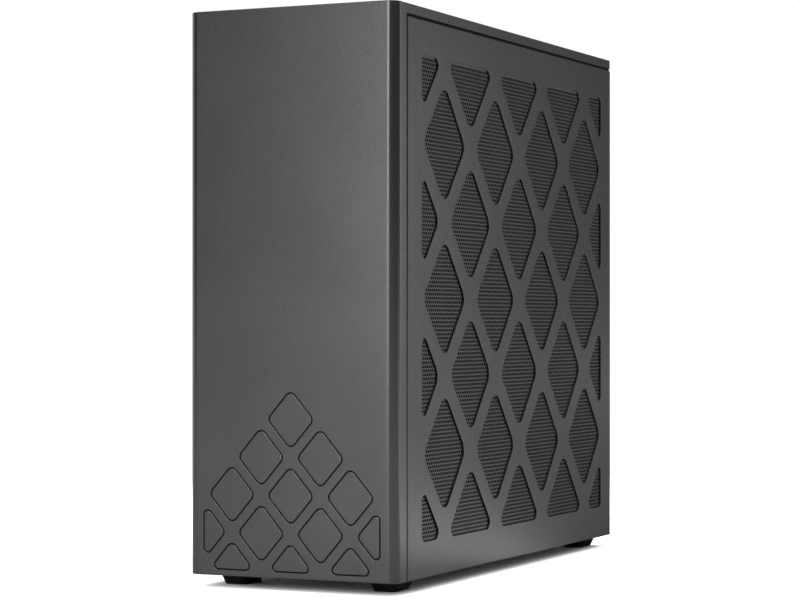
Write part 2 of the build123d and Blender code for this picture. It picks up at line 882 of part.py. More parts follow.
def fan_rotor(size):
    """Fan rotor about Z: a hub and twisted blades that just clear the frame's bore."""
    low = fan_arm_thickness + fan_face_clearance
    high = fan_thickness - fan_face_clearance
    bore = size / 2 - fan_wall - fan_tip_clearance
    tip = (bore**2 - (fan_blade_tip_chord / 2) ** 2) ** 0.5
    root = fan_hub_radius - 2 * fan_blade_thickness
    blade = faceted(
        fan_blade_section(root, fan_blade_root_chord, fan_blade_root_pitch),
        fan_blade_section(tip, fan_blade_tip_chord, fan_blade_tip_pitch),
    )
    blade = Pos(0, 0, (low + high) / 2) * blade
    hub = Pos(0, 0, low) * extrude(RegularPolygon(fan_hub_radius, 2 * stub_sides), amount=high - low)
    blades = [Rot(0, 0, 360 / fan_blades * index) * blade for index in range(fan_blades)]
    return hub + blades


# ---------------------------------------------------------------- power supply
def psu_fan_place():
    """Frame of the power supply's fan: its axis points out through the right side."""
    origin = (psu_x[1] - psu_wall - fan_thickness, sum(psu_y) / 2, sum(psu_z) / 2)
    return Plane(origin=origin, x_dir=rearward, z_dir=rightward)


def inlet_place():
    """Frame of the mains inlet: X up the inlet's length, Z out of the rear."""
    origin = (psu_middle_x, psu_y[1], psu_z[1] - inlet_drop)
    return Plane(origin=origin, x_dir=upright, z_dir=rearward)


def switch_place():
    """Frame of the mains switch, under the inlet: Z out of the rear."""
    half_switch = rocker_radius + rocker_clearance + switch_wall
    drop = inlet_drop + inlet_height / 2 + inlet_rim + switch_gap + half_switch
    return Plane(origin=(psu_middle_x, psu_y[1], psu_z[1] - drop), x_dir=upright, z_dir=rearward)


def psu_case():
    """Sheet metal case of the power supply, open over its fan, inlet and switch."""
    shell = block(psu_x, psu_y, psu_z)
    shell -= block(grown(psu_x, -psu_wall), grown(psu_y, -psu_wall), grown(psu_z, -psu_wall))
    eye_face = RegularPolygon(psu_fan_size / 2 - fan_wall, ring_sides, major_radius=False)
    eye = psu_fan_place() * Pos(0, 0, fan_thickness) * extrude(eye_face, amount=psu_wall)
    through = Align.MAX
    inlet_hole = inlet_place() * Box(
        inlet_height, inlet_width, psu_wall, align=(Align.CENTER, Align.CENTER, through)
    )
    half_switch = rocker_radius + rocker_clearance + switch_wall
    switch_hole = switch_place() * Box(
        2 * half_switch,
        rocker_width + 2 * rocker_clearance + 2 * switch_wall,
        psu_wall,
        align=(Align.CENTER, Align.CENTER, through),
    )
    vent_x = grown(psu_x, -psu_vent_inset)
    vent_z = (psu_z[0] + 2 * psu_opening_margin, switch_place().origin.Z - half_switch - psu_opening_margin)
    return shell - eye - inlet_hole - switch_hole - slot_field(vent_x, vent_z)


def psu_fan_guard():
    """Flat stamped guard over the power supply's fan: rings on four spokes."""
    outer = psu_fan_size / 2 - fan_wall
    sides = 2 * stub_sides
    rings = []
    radius = outer + guard_wire
    while radius > fan_motor_radius:
        rings.append(RegularPolygon(radius, sides) - RegularPolygon(radius - guard_wire, sides))
        radius -= guard_ring_pitch
    spokes = Rectangle(2 * outer, guard_wire) + Rectangle(guard_wire, 2 * outer)
    flat = spokes + RegularPolygon(fan_motor_radius / 2, sides) + rings
    return psu_fan_place() * Pos(0, 0, fan_thickness + psu_wall) * extrude(flat, amount=guard_thickness)


def psu_board():
    """Circuit board of the power supply with its larger parts."""
    wall_x = psu_x[0] + psu_wall
    board_x = (wall_x + psu_board_gap, wall_x + psu_board_gap + board_thickness)
    y = grown(psu_y, -psu_wall - psu_board_gap)
    z = (psu_z[0] + psu_wall, inlet_place().origin.Z - inlet_height / 2 - psu_board_gap)
    board = block(board_x, y, z)
    posts = [
        block((wall_x, board_x[0]), span(post_y, psu_post_width), span(post_z, psu_post_width))
        for post_y in grown(y, -psu_post_width)
        for post_z in grown(z, -psu_post_width)
    ]
    part_x = (board_x[1], board_x[1] + psu_part_height)
    middle_y = sum(y) / 2
    transformer_y = span(middle_y - psu_transformer_offset, psu_transformer_width)
    transformer = block(part_x, transformer_y, span(sum(z) / 2, psu_transformer_width))
    sink_y = span(middle_y + 2 * psu_transformer_offset, psu_sink_thickness)
    sink = block(part_x, sink_y, grown(z, -2 * psu_post_width))
    can_y = y[0] + 2 * psu_can_radius
    can = stub((board_x[1], can_y, z[0] + 2 * psu_can_radius), rightward, psu_can_radius, psu_part_height)
    return board + posts + transformer + sink + can


def inlet_cavity(depth):
    """Opening of the inlet with two corners cut off, running in from the rim."""
    half_u = inlet_height / 2 - inlet_wall
    half_v = inlet_width / 2 - inlet_wall
    cut = inlet_corner_cut
    outline = [
        (-half_u, -half_v),
        (half_u, -half_v),
        (half_u, half_v - cut),
        (half_u - cut, half_v),
        (cut - half_u, half_v),
        (-half_u, half_v - cut),
    ]
    face = Face(Wire.make_polygon([Vector(*corner) for corner in outline], close=True))
    return Pos(0, 0, inlet_flange) * extrude(face, amount=-depth)


def psu_inlet():
    """Mains inlet: a moulded block with a rim outside the case."""
    body = Box(
        inlet_height, inlet_width, inlet_depth + inlet_floor, align=(Align.CENTER, Align.CENTER, Align.MAX)
    )
    rim = Box(
        inlet_height + 2 * inlet_rim,
        inlet_width + 2 * inlet_rim,
        inlet_flange,
        align=(Align.CENTER, Align.CENTER, Align.MIN),
    )
    return inlet_place() * (body + rim - inlet_cavity(inlet_depth + inlet_flange))


def inlet_pins():
    """Three flat blades that stand on the floor of the inlet."""
    places = [(-pin_spacing, -pin_offset), (pin_spacing, -pin_offset), (0, pin_offset)]
    pin = Box(pin_thickness, pin_width, pin_length, align=(Align.CENTER, Align.CENTER, Align.MIN))
    return [inlet_place() * Pos(u, v, -inlet_depth) * pin for u, v in places]


def switch_housing():
    """Frame of the mains switch, with a round-bottomed pocket for the rocker."""
    radius = rocker_radius + rocker_clearance
    width = rocker_width + 2 * rocker_clearance
    length = 2 * (radius + switch_wall)
    depth = rocker_axis_depth + radius + switch_wall
    body = Box(length, width + 2 * switch_wall, depth, align=(Align.CENTER, Align.CENTER, Align.MAX))
    rim = Box(
        length + 2 * switch_rim,
        width + 2 * (switch_wall + switch_rim),
        inlet_flange / 2,
        align=(Align.CENTER, Align.CENTER, Align.MIN),
    )
    pocket = Pos(0, 0, -rocker_axis_depth) * Rot(90, 0, 0) * Cylinder(radius, width)
    mouth_length = 2 * (radius**2 - rocker_axis_depth**2) ** 0.5
    mouth = Box(mouth_length, width, 2 * inlet_flange, align=(Align.CENTER, Align.CENTER, Align.CENTER))
    return switch_place() * (body + rim - pocket - mouth)


def rocker():
    """Rocker of the mains switch, turned so that its lower end is pressed in."""
    drum = Rot(90, 0, 0) * Cylinder(rocker_radius, rocker_width)
    reach = 4 * rocker_radius
    standing = (Align.CENTER, Align.CENTER, Align.MIN)
    above = Pos(0, 0, rocker_face_offset) * Box(reach, reach, reach, align=standing)
    faces = [Rot(0, angle, 0) * above for angle in (-rocker_face_angle, rocker_face_angle)]
    turned = Rot(0, -rocker_face_angle, 0) * (drum - faces)
    return switch_place() * Pos(0, 0, -rocker_axis_depth) * turned


# ---------------------------------------------------------------- baseboard and expansion slots
def baseboard():
    """Circuit board on standoffs over the shelf."""
    half = inner_half - baseboard_side_gap
    board = block((-half, half), baseboard_y, baseboard_z)
    inset = 2 * standoff_radius
    corners = [(x, y) for x in (inset - half, half - inset) for y in grown(baseboard_y, -inset)]
    standoffs = [stub((x, y, shelf_top), upright, standoff_radius, standoff_height) for x, y in corners]
    return board + standoffs


def card_slot(x, y, height):
    """Card edge connector on the baseboard with a groove along its top."""
    z = (baseboard_z[1], baseboard_z[1] + height)
    body = block(span(x, slot_width), y, z)
    groove = block(span(x, slot_groove), grown(y, -slot_wall), (z[0] + slot_wall, z[1]))
    return body - groove


def graphics_slot():
    """Long expansion slot at the left of the graphics bay."""
    y_high = rear_inner_y - graphics_slot_rear_gap
    return card_slot(graphics_slot_x, (y_high - graphics_slot_length, y_high), slot_height)


def compute_tongues():
    """Ranges along Y of the two edge connectors of the compute card."""
    length = tongue_share_length * compute_length
    return [
        (compute_y[0] + share * compute_length, compute_y[0] + share * compute_length + length)
        for share in tongue_shares
    ]


def compute_slot():
    """Pair of connectors that the compute card stands in."""
    middle = (compute_face_x + compute_back_x) / 2
    places = [grown(y, slot_wall + tongue_side_gap) for y in compute_tongues()]
    return [card_slot(middle, y, compute_slot_height) for y in places]


def slot_covers():
    """Blank brackets behind the slot openings of the rear panel, each with a bent lug."""
    z = grown(bay_opening_z, bay_cover_lap)
    covers = []
    for x in bay_places():
        plate = block(span(x, bay_cover_width), (rear_inner_y - bay_cover_wall, rear_inner_y), z)
        lug_z = (z[1] - bay_cover_wall, z[1])
        lug = block(span(x, bay_cover_width), (rear_inner_y - seat_flange, rear_inner_y), lug_z)
        covers.append(plate + lug)
    return covers


# ---------------------------------------------------------------- compute card
def compute_board():
    """Upright circuit board with two edge connectors at its lower edge."""
    x = (compute_face_x, compute_back_x)
    board = block(x, compute_y, compute_z)
    tongue_z = (baseboard_z[1] + slot_wall + compute_board_lift, compute_z[0])
    return board + [block(x, y, tongue_z) for y in compute_tongues()]


def blower_centre():
    """Centre of the blower in Y and Z."""
    return (compute_y[0] + blower_offset, compute_middle_z)


def cooler_y():
    """Range along Y of the cold plate."""
    low = compute_y[0] + shroud_length - shroud_wall - cold_plate_length - fin_gap_to_shroud
    return (low, low + cold_plate_length)


def processor():
    """Processor package with its metal lid."""
    y = sum(cooler_y()) / 2
    substrate_x = (compute_face_x - processor_substrate, compute_face_x)
    lid_x = (substrate_x[0] - processor_lid, substrate_x[0])
    plate = (span(y, processor_width), span(compute_middle_z, processor_height))
    lid = [grown(pair, -processor_lid_inset) for pair in plate]
    return block(substrate_x, *plate) + block(lid_x, *lid)


def cold_plate_x():
    """Range along X of the cold plate, which rests on the processor."""
    high = compute_face_x - processor_substrate - processor_lid
    return (high - cold_plate_thickness, high)


def heatsink():
    """Cold plate with a comb of fins that reaches to the shroud."""
    x = cold_plate_x()
    y = cooler_y()
    plate = block(x, y, cold_plate_z)
    fin_x = (compute_left + shroud_wall + fin_gap_to_shroud, x[0])
    count = int((cold_plate_z[1] - cold_plate_z[0] - fin_thickness) // fin_pitch) + 1
    start = compute_middle_z - (count - 1) * fin_pitch / 2
    fins = [block(fin_x, y, span(start + index * fin_pitch, fin_thickness)) for index in range(count)]
    return plate + fins - heat_pipes()


def heat_pipes():
    """Flattened heat pipes let into the processor side of the cold plate."""
    middle = sum(cooler_y()) / 2
    first = middle - (heat_pipe_count - 1) * heat_pipe_pitch / 2
    length = cold_plate_z[1] - cold_plate_z[0] - 2 * heat_pipe_end_gap
    outline = rounded_rectangle(heat_pipe_width, length, heat_pipe_width / 2)
    pipes = []
    for index in range(heat_pipe_count):
        origin = (cold_plate_x()[1], first + index * heat_pipe_pitch, compute_middle_z)
        face = Plane(origin=origin, x_dir=rearward, z_dir=rightward)
        pipes.append(extrude(face * outline, amount=-heat_pipe_thickness))
    return pipes


def blower_rotor():
    """Radial blower wheel about X: hub, back plate and canted blades."""
    y, z = blower_centre()
    hub_z = blower_height
    plate = extrude(RegularPolygon(blower_radius, 4 * stub_sides), amount=blower_plate)
    hub = extrude(RegularPolygon(blower_hub_radius, 2 * stub_sides), amount=hub_z)
    blade = Box(
        blower_blade_length, blower_blade_thickness, hub_z, align=(Align.CENTER, Align.CENTER, Align.MIN)
    )
    middle = blower_radius - blower_blade_length / 2
    blades = [
        Rot(0, 0, 360 / blower_blades * index) * Pos(middle, 0, 0) * Rot(0, 0, blower_blade_angle) * blade
        for index in range(blower_blades)
    ]
    wheel = plate + hub + blades
    base_x = compute_left + shroud_wall + blower_clearance + blower_height
    return Plane(origin=(base_x, y, z), x_dir=rearward, z_dir=(-1, 0, 0)) * wheel


def blower_motor():
    """Motor on the board that carries the blower wheel."""
    y, z = blower_centre()
    base_x = compute_left + shroud_wall + blower_clearance + blower_height
    length = compute_face_x - base_x - blower_clearance
    return stub((base_x + blower_clearance, y, z), rightward, motor_radius, length)


def compute_shroud():
    """Cover of the compute card's cooler, open to the rear and over the blower."""
    x = (compute_left, compute_face_x)
    y = (compute_y[0], compute_y[0] + shroud_length)
    shell = block(x, y, compute_z)
    shell = chamfer(shell.edges().filter_by(Axis.Y).sort_by(Axis.X)[:2], shroud_edge)
    shell -= block((x[0] + shroud_wall, x[1]), (y[0] + shroud_wall, y[1]), grown(compute_z, -shroud_wall))
    centre_y, centre_z = blower_centre()
    eye = (x[0], centre_y, centre_z)
    return shell - stub(eye, rightward, blower_inlet_radius, shroud_wall, ring_sides)


def port_places():
    """Places along Z of the rear sockets, from the bottom up, with equal gaps between them."""
    widths = {
        "usb_low": usb_a_width,
        "usb_middle": usb_a_width,
        "usb_high": usb_a_width,
        "network_low": network_width,
        "network_high": network_width,
        "usb_c": usb_c_width,
        "hdmi": hdmi_width,
    }
    space = compute_z[1] - compute_z[0] - 2 * port_end_margin - sum(widths.values())
    gap = space / (len(widths) - 1)
    places = {}
    edge = compute_z[0] + port_end_margin
    for name, width in widths.items():
        places[name] = edge + width / 2
        edge += width + gap
    return places


def port(name, width, height, depth):
    """Outer block of one rear socket, standing on the compute board."""
    y = (rear_plate_y + port_projection - depth, rear_plate_y + port_projection)
    return block((compute_face_x - height, compute_face_x), y, span(port_places()[name], width))


def usb_a_opening_places():
    """Middles along X of the two openings of a double USB-A socket."""
    quarter = usb_a_height / 4
    return (compute_face_x - quarter, compute_face_x - usb_a_height + quarter)


def usb_a_ports():
    """Double USB-A sockets, each with a tongue in both openings."""
    solids = []
    y_high = rear_plate_y + port_projection
    cavity_y = (y_high - usb_a_depth + 2 * socket_shell, y_high)
    for name in ("usb_low", "usb_middle", "usb_high"):
        z = port_places()[name]
        body = port(name, usb_a_width, usb_a_height, usb_a_depth)
        for x in usb_a_opening_places():
            body -= block(span(x, usb_a_opening_height), cavity_y, span(z, usb_a_opening_width))
            tongue_y = (cavity_y[0], y_high - 2 * socket_shell)
            body += block(span(x, usb_a_tongue), tongue_y, span(z, usb_a_opening_width))
        solids.append(body)
    return solids


def usb_c_port():
    """USB-C socket with rounded ends and a tongue."""
    y_high = rear_plate_y + port_projection
    face = Plane(
        origin=(compute_face_x - usb_c_height / 2, y_high, port_places()["usb_c"]),
        x_dir=upright,
        z_dir=rearward,
    )
    return usb_c_shell(face, usb_c_depth)


def usb_c_shell(face, depth):
    """Rounded USB-C shell that runs back from its face."""
    outer = extrude(rounded_rectangle(usb_c_width, usb_c_height, usb_c_height / 2), amount=-depth)
    wall = 2 * socket_shell
    inner_size = (usb_c_width - wall, usb_c_height - wall)
    inner = extrude(rounded_rectangle(*inner_size, inner_size[1] / 2), amount=socket_shell - depth)
    tongue = Pos(0, 0, -depth) * Box(
        inner_size[0] - wall, socket_shell, depth - wall, align=(Align.CENTER, Align.CENTER, Align.MIN)
    )
    return face * (outer - inner + tongue)


def network_ports():
    """Network sockets, each an open cavity in a block."""
    solids = []
    y_high = rear_plate_y + port_projection
    cavity_y = (y_high - network_opening_depth, y_high)
    for name in ("network_low", "network_high"):
        z = port_places()[name]
        body = port(name, network_width, network_height, network_depth)
        x = compute_face_x - network_height / 2
        opening = block(span(x, network_opening_height), cavity_y, span(z, network_opening_width))
        solids.append(body - opening)
    return solids


def hdmi_port():
    """Display socket with a tongue."""
    y_high = rear_plate_y + port_projection
    z = port_places()["hdmi"]
    x = compute_face_x - hdmi_height / 2
    cavity_y = (y_high - hdmi_depth + 2 * socket_shell, y_high)
    body = port("hdmi", hdmi_width, hdmi_height, hdmi_depth)
    body -= block(
        span(x, hdmi_height - 2 * socket_shell), cavity_y, span(z, hdmi_width - 2 * socket_shell)
    )
    tongue_y = (cavity_y[0], y_high - 2 * socket_shell)
    return body + block(span(x, socket_shell), tongue_y, span(z, hdmi_width - 6 * socket_shell))


def compute_bracket():
    """Plate at the rear end of the compute card, cut out around its sockets."""
    y = (rear_inner_y - bracket_wall, rear_inner_y)
    plate = block((compute_left, compute_back_x + bracket_side_lap / 2), y, compute_z)
    lip = block((compute_left, compute_left + bracket_wall), (y[0] - seat_flange, y[1]), compute_z)
    sizes = {"usb": (usb_a_width, usb_a_height), "network": (network_width, network_height)}
    holes = []
    for name, z in port_places().items():
        width, height = sizes.get(name.split("_")[0], (hdmi_width, hdmi_height))
        if name == "usb_c":
            width, height = (usb_c_width, usb_c_height)
        x = (compute_face_x - height - socket_clearance, compute_face_x + socket_clearance)
        holes.append(block(x, y, grown(span(z, width), socket_clearance)))
    return plate + lip - holes


def memory_modules():
    """Two memory modules that lie over each other in their sockets."""
    y_low = compute_y[0] + shroud_length + memory_gap
    y_card = y_low + memory_socket
    z = (compute_z[1] - memory_length - memory_gap, compute_z[1] - memory_gap)
    modules = []
    for high in (compute_face_x, compute_face_x - memory_socket):
        socket = block((high - memory_socket, high), (y_low, y_card), z)
        card_x = span(high - memory_socket / 2, memory_thickness)
        modules.append(socket + block(card_x, (y_card, y_low + memory_height), z))
    return modules


def storage_drives():
    """Two flat solid state drives on the back of the compute board."""
    x = (compute_back_x, compute_back_x + storage_thickness)
    y_low = sum(compute_y) / 2 - storage_length
    y = (y_low, y_low + storage_length)
    low = compute_z[0] + storage_lift
    return [block(x, y, span(z, storage_width)) for z in (low, low + storage_pitch)]


# ---------------------------------------------------------------- sockets and button at the top front
def io_board():
    """Circuit board that carries the sockets at the top front."""
    return block((-io_half_width, io_half_width), io_y, io_board_z)


def io_usb_sockets():
    """Two upright USB-A sockets that end flush in the top cover."""
    x = io_places()
    sockets = []
    z = (io_board_z[1], body_top - button_flush)
    height = usb_a_height / 2
    for name in ("usb_a_left", "usb_a_right"):
        body = block(span(x[name], usb_a_width), span(io_middle_y, height), z)
        cavity_z = (z[0] + 2 * socket_shell, z[1])
        width = span(x[name], usb_a_opening_width)
        body -= block(width, span(io_middle_y, usb_a_opening_height), cavity_z)
        tongue_z = (cavity_z[0], z[1] - 2 * socket_shell)
        sockets.append(body + block(width, span(io_middle_y, usb_a_tongue), tongue_z))
    return sockets


def io_usb_c_socket():
    """Upright USB-C socket that ends flush in the top cover."""
    face = Plane(origin=(io_places()["usb_c"], io_middle_y, body_top - button_flush), z_dir=upright)
    return usb_c_shell(face, body_top - button_flush - io_board_z[1])


def io_audio_jack():
    """Audio jack: a round barrel on a square foot."""
    x = io_places()["jack"]
    top = body_top - button_flush
    barrel = stub((x, io_middle_y, io_board_z[1]), upright, jack_radius, top - io_board_z[1], button_sides)
    foot_z = (io_board_z[1], io_board_z[1] + jack_radius)
    foot = block(span(x, jack_foot_width), span(io_middle_y, jack_foot_width), foot_z)
    bore = rod((x, io_middle_y, top - jack_bore_depth), upright, jack_bore_radius, jack_bore_depth)
    return barrel + foot - bore


def button_switch():
    """Push switch under the power button."""
    x = io_places()["button"]
    z = (io_board_z[1], io_board_z[1] + switch_height)
    return block(span(x, switch_size), span(io_middle_y, switch_size), z)


def power_button():
    """Round power button with a collar under the top cover and a stem over its switch."""
    x = io_places()["button"]
    top = body_top - button_flush
    collar_top = cover_underside - button_clearance
    cap = stub((x, io_middle_y, collar_top), upright, button_radius, top - collar_top, button_sides)
    cap = chamfer(cap.faces().sort_by(Axis.Z)[-1].edges(), bezel_edge_chamfer / 2)
    collar_start = (x, io_middle_y, collar_top - button_collar_height)
    collar_radius = button_radius + button_collar
    collar = stub(collar_start, upright, collar_radius, button_collar_height, button_sides)
    stem_bottom = io_board_z[1] + switch_height + button_travel + button_clearance
    stem = stub((x, io_middle_y, stem_bottom), upright, button_radius / 2, collar_top - stem_bottom)
    return cap + collar + stem


# ---------------------------------------------------------------- all nodes
write("front_bezel", [front_bezel()])
write("top_cover", [top_cover()])
write("top_mesh", [top_mesh()])
write("feet", feet())
write("foot_screws", foot_screws())
write("bottom_pan", [bottom_pan()])
write("front_plate", [front_plate()])
write("rear_panel", [rear_panel()])
write("fan_deck", [fan_deck()])
write("shelf", [shelf()])
write("thumb_screws", thumb_screws())
right = {"panel": [side_panel()], "mesh": [side_mesh()], "studs": panel_studs()}
for piece, solids in right.items():
    write(f"right_{piece}", solids)
    write(f"left_{piece}", [mirror(solid, about=Plane.YZ) for solid in solids])
write("clip_sockets", [side for socket in clip_sockets() for side in both_sides(socket)])
for name, y in fan_centres.items():
    write(f"fan_frame_{name}", [Pos(0, y, fan_bottom) * fan_frame(fan_size)])
    write(f"fan_rotor_{name}", [Pos(0, y, fan_bottom) * fan_rotor(fan_size)])
write("psu_case", [psu_case()])
write("psu_board", [psu_board()])
write("psu_fan_frame", [psu_fan_place() * fan_frame(psu_fan_size)])
write("psu_fan_rotor", [psu_fan_place() * fan_rotor(psu_fan_size)])
write("psu_fan_guard", [psu_fan_guard()])
write("psu_inlet", [psu_inlet()])
write("inlet_pins", inlet_pins())
write("switch_housing", [switch_housing()])
write("switch_rocker", [rocker()])
write("baseboard", [baseboard()])
write("graphics_slot", [graphics_slot()])
write("compute_slot", compute_slot())
write("slot_covers", slot_covers())
write("compute_board", [compute_board()])
write("processor", [processor()])
write("heatsink", [heatsink()])
write("heat_pipes", heat_pipes())
write("blower_rotor", [blower_rotor()])
write("blower_motor", [blower_motor()])
write("compute_shroud", [compute_shroud()])
write("usb_a_ports", usb_a_ports())
write("usb_c_port", [usb_c_port()])
write("network_ports", network_ports())
write("hdmi_port", [hdmi_port()])
write("compute_bracket", [compute_bracket()])
write("memory_modules", memory_modules())
write("storage_drives", storage_drives())
write("io_board", [io_board()])
write("io_usb_sockets", io_usb_sockets())
write("io_usb_c_socket", [io_usb_c_socket()])
write("io_audio_jack", [io_audio_jack()])
write("button_switch", [button_switch()])
write("power_button", [power_button()])
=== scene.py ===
"""Looks of an upright mini computer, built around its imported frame.

Lengths are metres in the frame's own axes: X across the case, Y from the front to the rear
and Z up from the floor. Each new mesh is worked out as whole arrays and stands in its place.
"""

import json
import logging
from dataclasses import dataclass, field
from enum import Enum
from functools import cache

import bmesh
import bpy
import numpy as np
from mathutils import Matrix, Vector
from mathutils.geometry import delaunay_2d_cdt


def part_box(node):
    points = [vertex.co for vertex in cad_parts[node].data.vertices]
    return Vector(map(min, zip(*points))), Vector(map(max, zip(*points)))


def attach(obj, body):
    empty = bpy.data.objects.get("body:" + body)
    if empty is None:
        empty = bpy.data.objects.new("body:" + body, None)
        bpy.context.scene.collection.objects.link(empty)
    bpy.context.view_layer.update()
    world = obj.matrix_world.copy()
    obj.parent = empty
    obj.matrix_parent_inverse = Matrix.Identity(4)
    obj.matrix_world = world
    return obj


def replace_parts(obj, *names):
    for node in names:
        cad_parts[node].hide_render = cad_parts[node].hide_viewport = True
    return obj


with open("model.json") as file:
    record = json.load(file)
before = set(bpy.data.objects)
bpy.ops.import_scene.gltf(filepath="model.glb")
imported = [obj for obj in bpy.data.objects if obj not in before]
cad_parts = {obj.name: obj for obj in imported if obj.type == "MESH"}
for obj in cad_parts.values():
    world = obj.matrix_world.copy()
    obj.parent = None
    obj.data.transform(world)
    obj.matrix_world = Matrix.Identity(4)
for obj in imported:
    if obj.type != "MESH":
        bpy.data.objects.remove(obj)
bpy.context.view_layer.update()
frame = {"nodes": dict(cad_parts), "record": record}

Array = np.ndarray
MM = 0.001
WELD = 1e-6
CELL_SIDES = 6
NORMAL_WEIGHT = 80
SMOOTH_ANGLE = np.radians(32.0)
FILLET_SHARE = 0.49
NOISE_SPAN = (0.3, 0.7)
log = logging.getLogger("mini_computer")


# ---------------------------------------------------------------- outlines
def rounded_loop(corners: Array, radii: Array | float, steps: int) -> Array:
    """Round each corner of a closed outline with an arc that touches both of its sides.

    At an inner angle a, an arc of radius r starts r / tan(a / 2) along each side, has its centre
    r / sin(a / 2) along the bisector and turns through pi - a. The start is at most
    FILLET_SHARE of the shorter side away from the corner.

    Args:
        corners: Corners in counter-clockwise order, one (u, v) row each.
        radii: Radius of each corner, or one for all.
        steps: Straight steps in each arc.

    Returns:
        The points of the rounded outline, counter-clockwise.
    """
    back = np.roll(corners, 1, axis=0) - corners
    ahead = np.roll(corners, -1, axis=0) - corners
    back_length = np.linalg.norm(back, axis=1)
    ahead_length = np.linalg.norm(ahead, axis=1)
    back /= back_length[:, None]
    ahead /= ahead_length[:, None]
    half = np.arccos(np.clip((back * ahead).sum(axis=1), -1, 1)) / 2
    longest = FILLET_SHARE * np.minimum(back_length, ahead_length)
    reach = np.minimum(radii / np.tan(half), longest)
    bisector = back + ahead
    bisector /= np.linalg.norm(bisector, axis=1, keepdims=True)
    centre = corners + bisector * (reach / np.cos(half))[:, None]
    spoke = corners + back * reach[:, None] - centre
    turn = np.linspace(0, 1, steps + 1) * (np.pi - 2 * half)[:, None]
    across = np.cos(turn) * spoke[:, :1] - np.sin(turn) * spoke[:, 1:]
    up = np.sin(turn) * spoke[:, :1] + np.cos(turn) * spoke[:, 1:]
    return (centre[:, None] + np.stack([across, up], axis=-1)).reshape(-1, 2)


def rectangle(low: tuple[float, float], high: tuple[float, float]) -> Array:
    """Corners of a rectangle in counter-clockwise order."""
    return np.array([low, (high[0], low[1]), high, (low[0], high[1])], float)


def circle(centre: tuple[float, float], radius: float, steps: int) -> Array:
    """Points of a circle, counter-clockwise: centre plus radius times cosine and sine."""
    angle = np.linspace(0, 2 * np.pi, steps, endpoint=False)
    return np.array(centre) + radius * np.stack([np.cos(angle), np.sin(angle)], axis=1)


def outward(loop: Array) -> Array:
    """Mitred normals on the right of a closed outline's direction of travel.

    Both edge normals have a product of one with the result, so that an offset along it keeps
    its distance from both edges.
    """
    step = np.roll(loop, -1, axis=0) - loop
    step /= np.linalg.norm(step, axis=1, keepdims=True)
    right = np.stack([step[:, 1], -step[:, 0]], axis=1)
    mitre = right + np.roll(right, 1, axis=0)
    return 2 * mitre / (mitre**2).sum(axis=1, keepdims=True)


def clipped(corners: Array, axis: int, limit: float, side: int) -> Array:
    """The part of a closed outline above (side 1) or below (side -1) a limit on one axis."""
    ahead = np.roll(corners, -1, axis=0)
    before = side * (corners[:, axis] - limit)
    after = side * (ahead[:, axis] - limit)
    crosses = before * after < 0
    share = np.where(crosses, before, 0) / np.where(crosses, before - after, 1)
    crossing = corners + share[:, None] * (ahead - corners)
    keep = np.stack([before >= 0, crosses], axis=1)
    return np.stack([corners, crossing], axis=1)[keep]


@dataclass(frozen=True)
class Lattice:
    """Diamond lattice: rounded cells between crossing bars, cut off at the edge of a field."""

    half_pitch: tuple[float, float]
    bar: float
    corner_radius: float
    cut_radius: float
    steps: int = 8
    shortest_side: float = 2.0 * MM
    smallest_cell: float = 8.0 * MM

    def cell(self, centre: tuple[float, float], field_box: Array) -> Array | None:
        """One cell's outline, or None where too little of the diamond is left.

        Args:
            centre: Centre of the whole diamond.
            field_box: The field's low and high corner, as two rows.

        Returns:
            The rounded outline, counter-clockwise.
        """
        across, up = self.half_pitch
        shrink = 1 - self.bar / 2 * np.hypot(across, up) / (across * up)
        unit = np.array([(-1, 0), (0, -1), (1, 0), (0, 1)], float)
        corners = np.array(centre) + unit * shrink * np.array(self.half_pitch)
        for axis in (0, 1):
            corners = clipped(corners, axis, field_box[0, axis], 1)
            corners = clipped(corners, axis, field_box[1, axis], -1)
        if len(corners) < 3:
            return None
        on_edge = (np.abs(corners[:, None] - field_box) < WELD).any(axis=(1, 2))
        side = np.linalg.norm(corners - np.roll(corners, 1, axis=0), axis=1)
        kept = on_edge | (np.minimum(side, np.roll(side, -1)) > self.shortest_side)
        corners, on_edge = corners[kept], on_edge[kept]
        if len(corners) < 3 or np.ptp(corners, axis=0).min() < self.smallest_cell:
            return None
        return rounded_loop(corners, np.where(on_edge, self.cut_radius, self.corner_radius), self.steps)

    def cells(self, field_box: Array) -> list[Array]:
        """Outlines of all cells of the lattice that is centred in its field."""
        middle = field_box.mean(axis=0)
        reach = np.ceil(np.ptp(field_box, axis=0) / 2 / self.half_pitch).astype(int)
        found = [
            self.cell((middle[0] + i * self.half_pitch[0], middle[1] + j * self.half_pitch[1]), field_box)
            for j in range(-reach[1], reach[1] + 1)
            for i in range(-reach[0], reach[0] + 1)
            if (i + j) % 2
        ]
        return [outline for outline in found if outline is not None]


# ---------------------------------------------------------------- surfaces
@dataclass(frozen=True)
class Axes:
    """A right-handed working frame: u and v in a plane, w out of it."""

    origin: tuple[float, float, float]
    u: tuple[float, float, float]
    v: tuple[float, float, float]
    w: tuple[float, float, float]

    def place(self, points: Array) -> Array:
        """Carry (u, v, w) rows into the frame's X, Y and Z."""
        return np.array(self.origin) + points @ np.array([self.u, self.v, self.w], float)


AT_ORIGIN = Axes((0, 0, 0), (1, 0, 0), (0, 1, 0), (0, 0, 1))


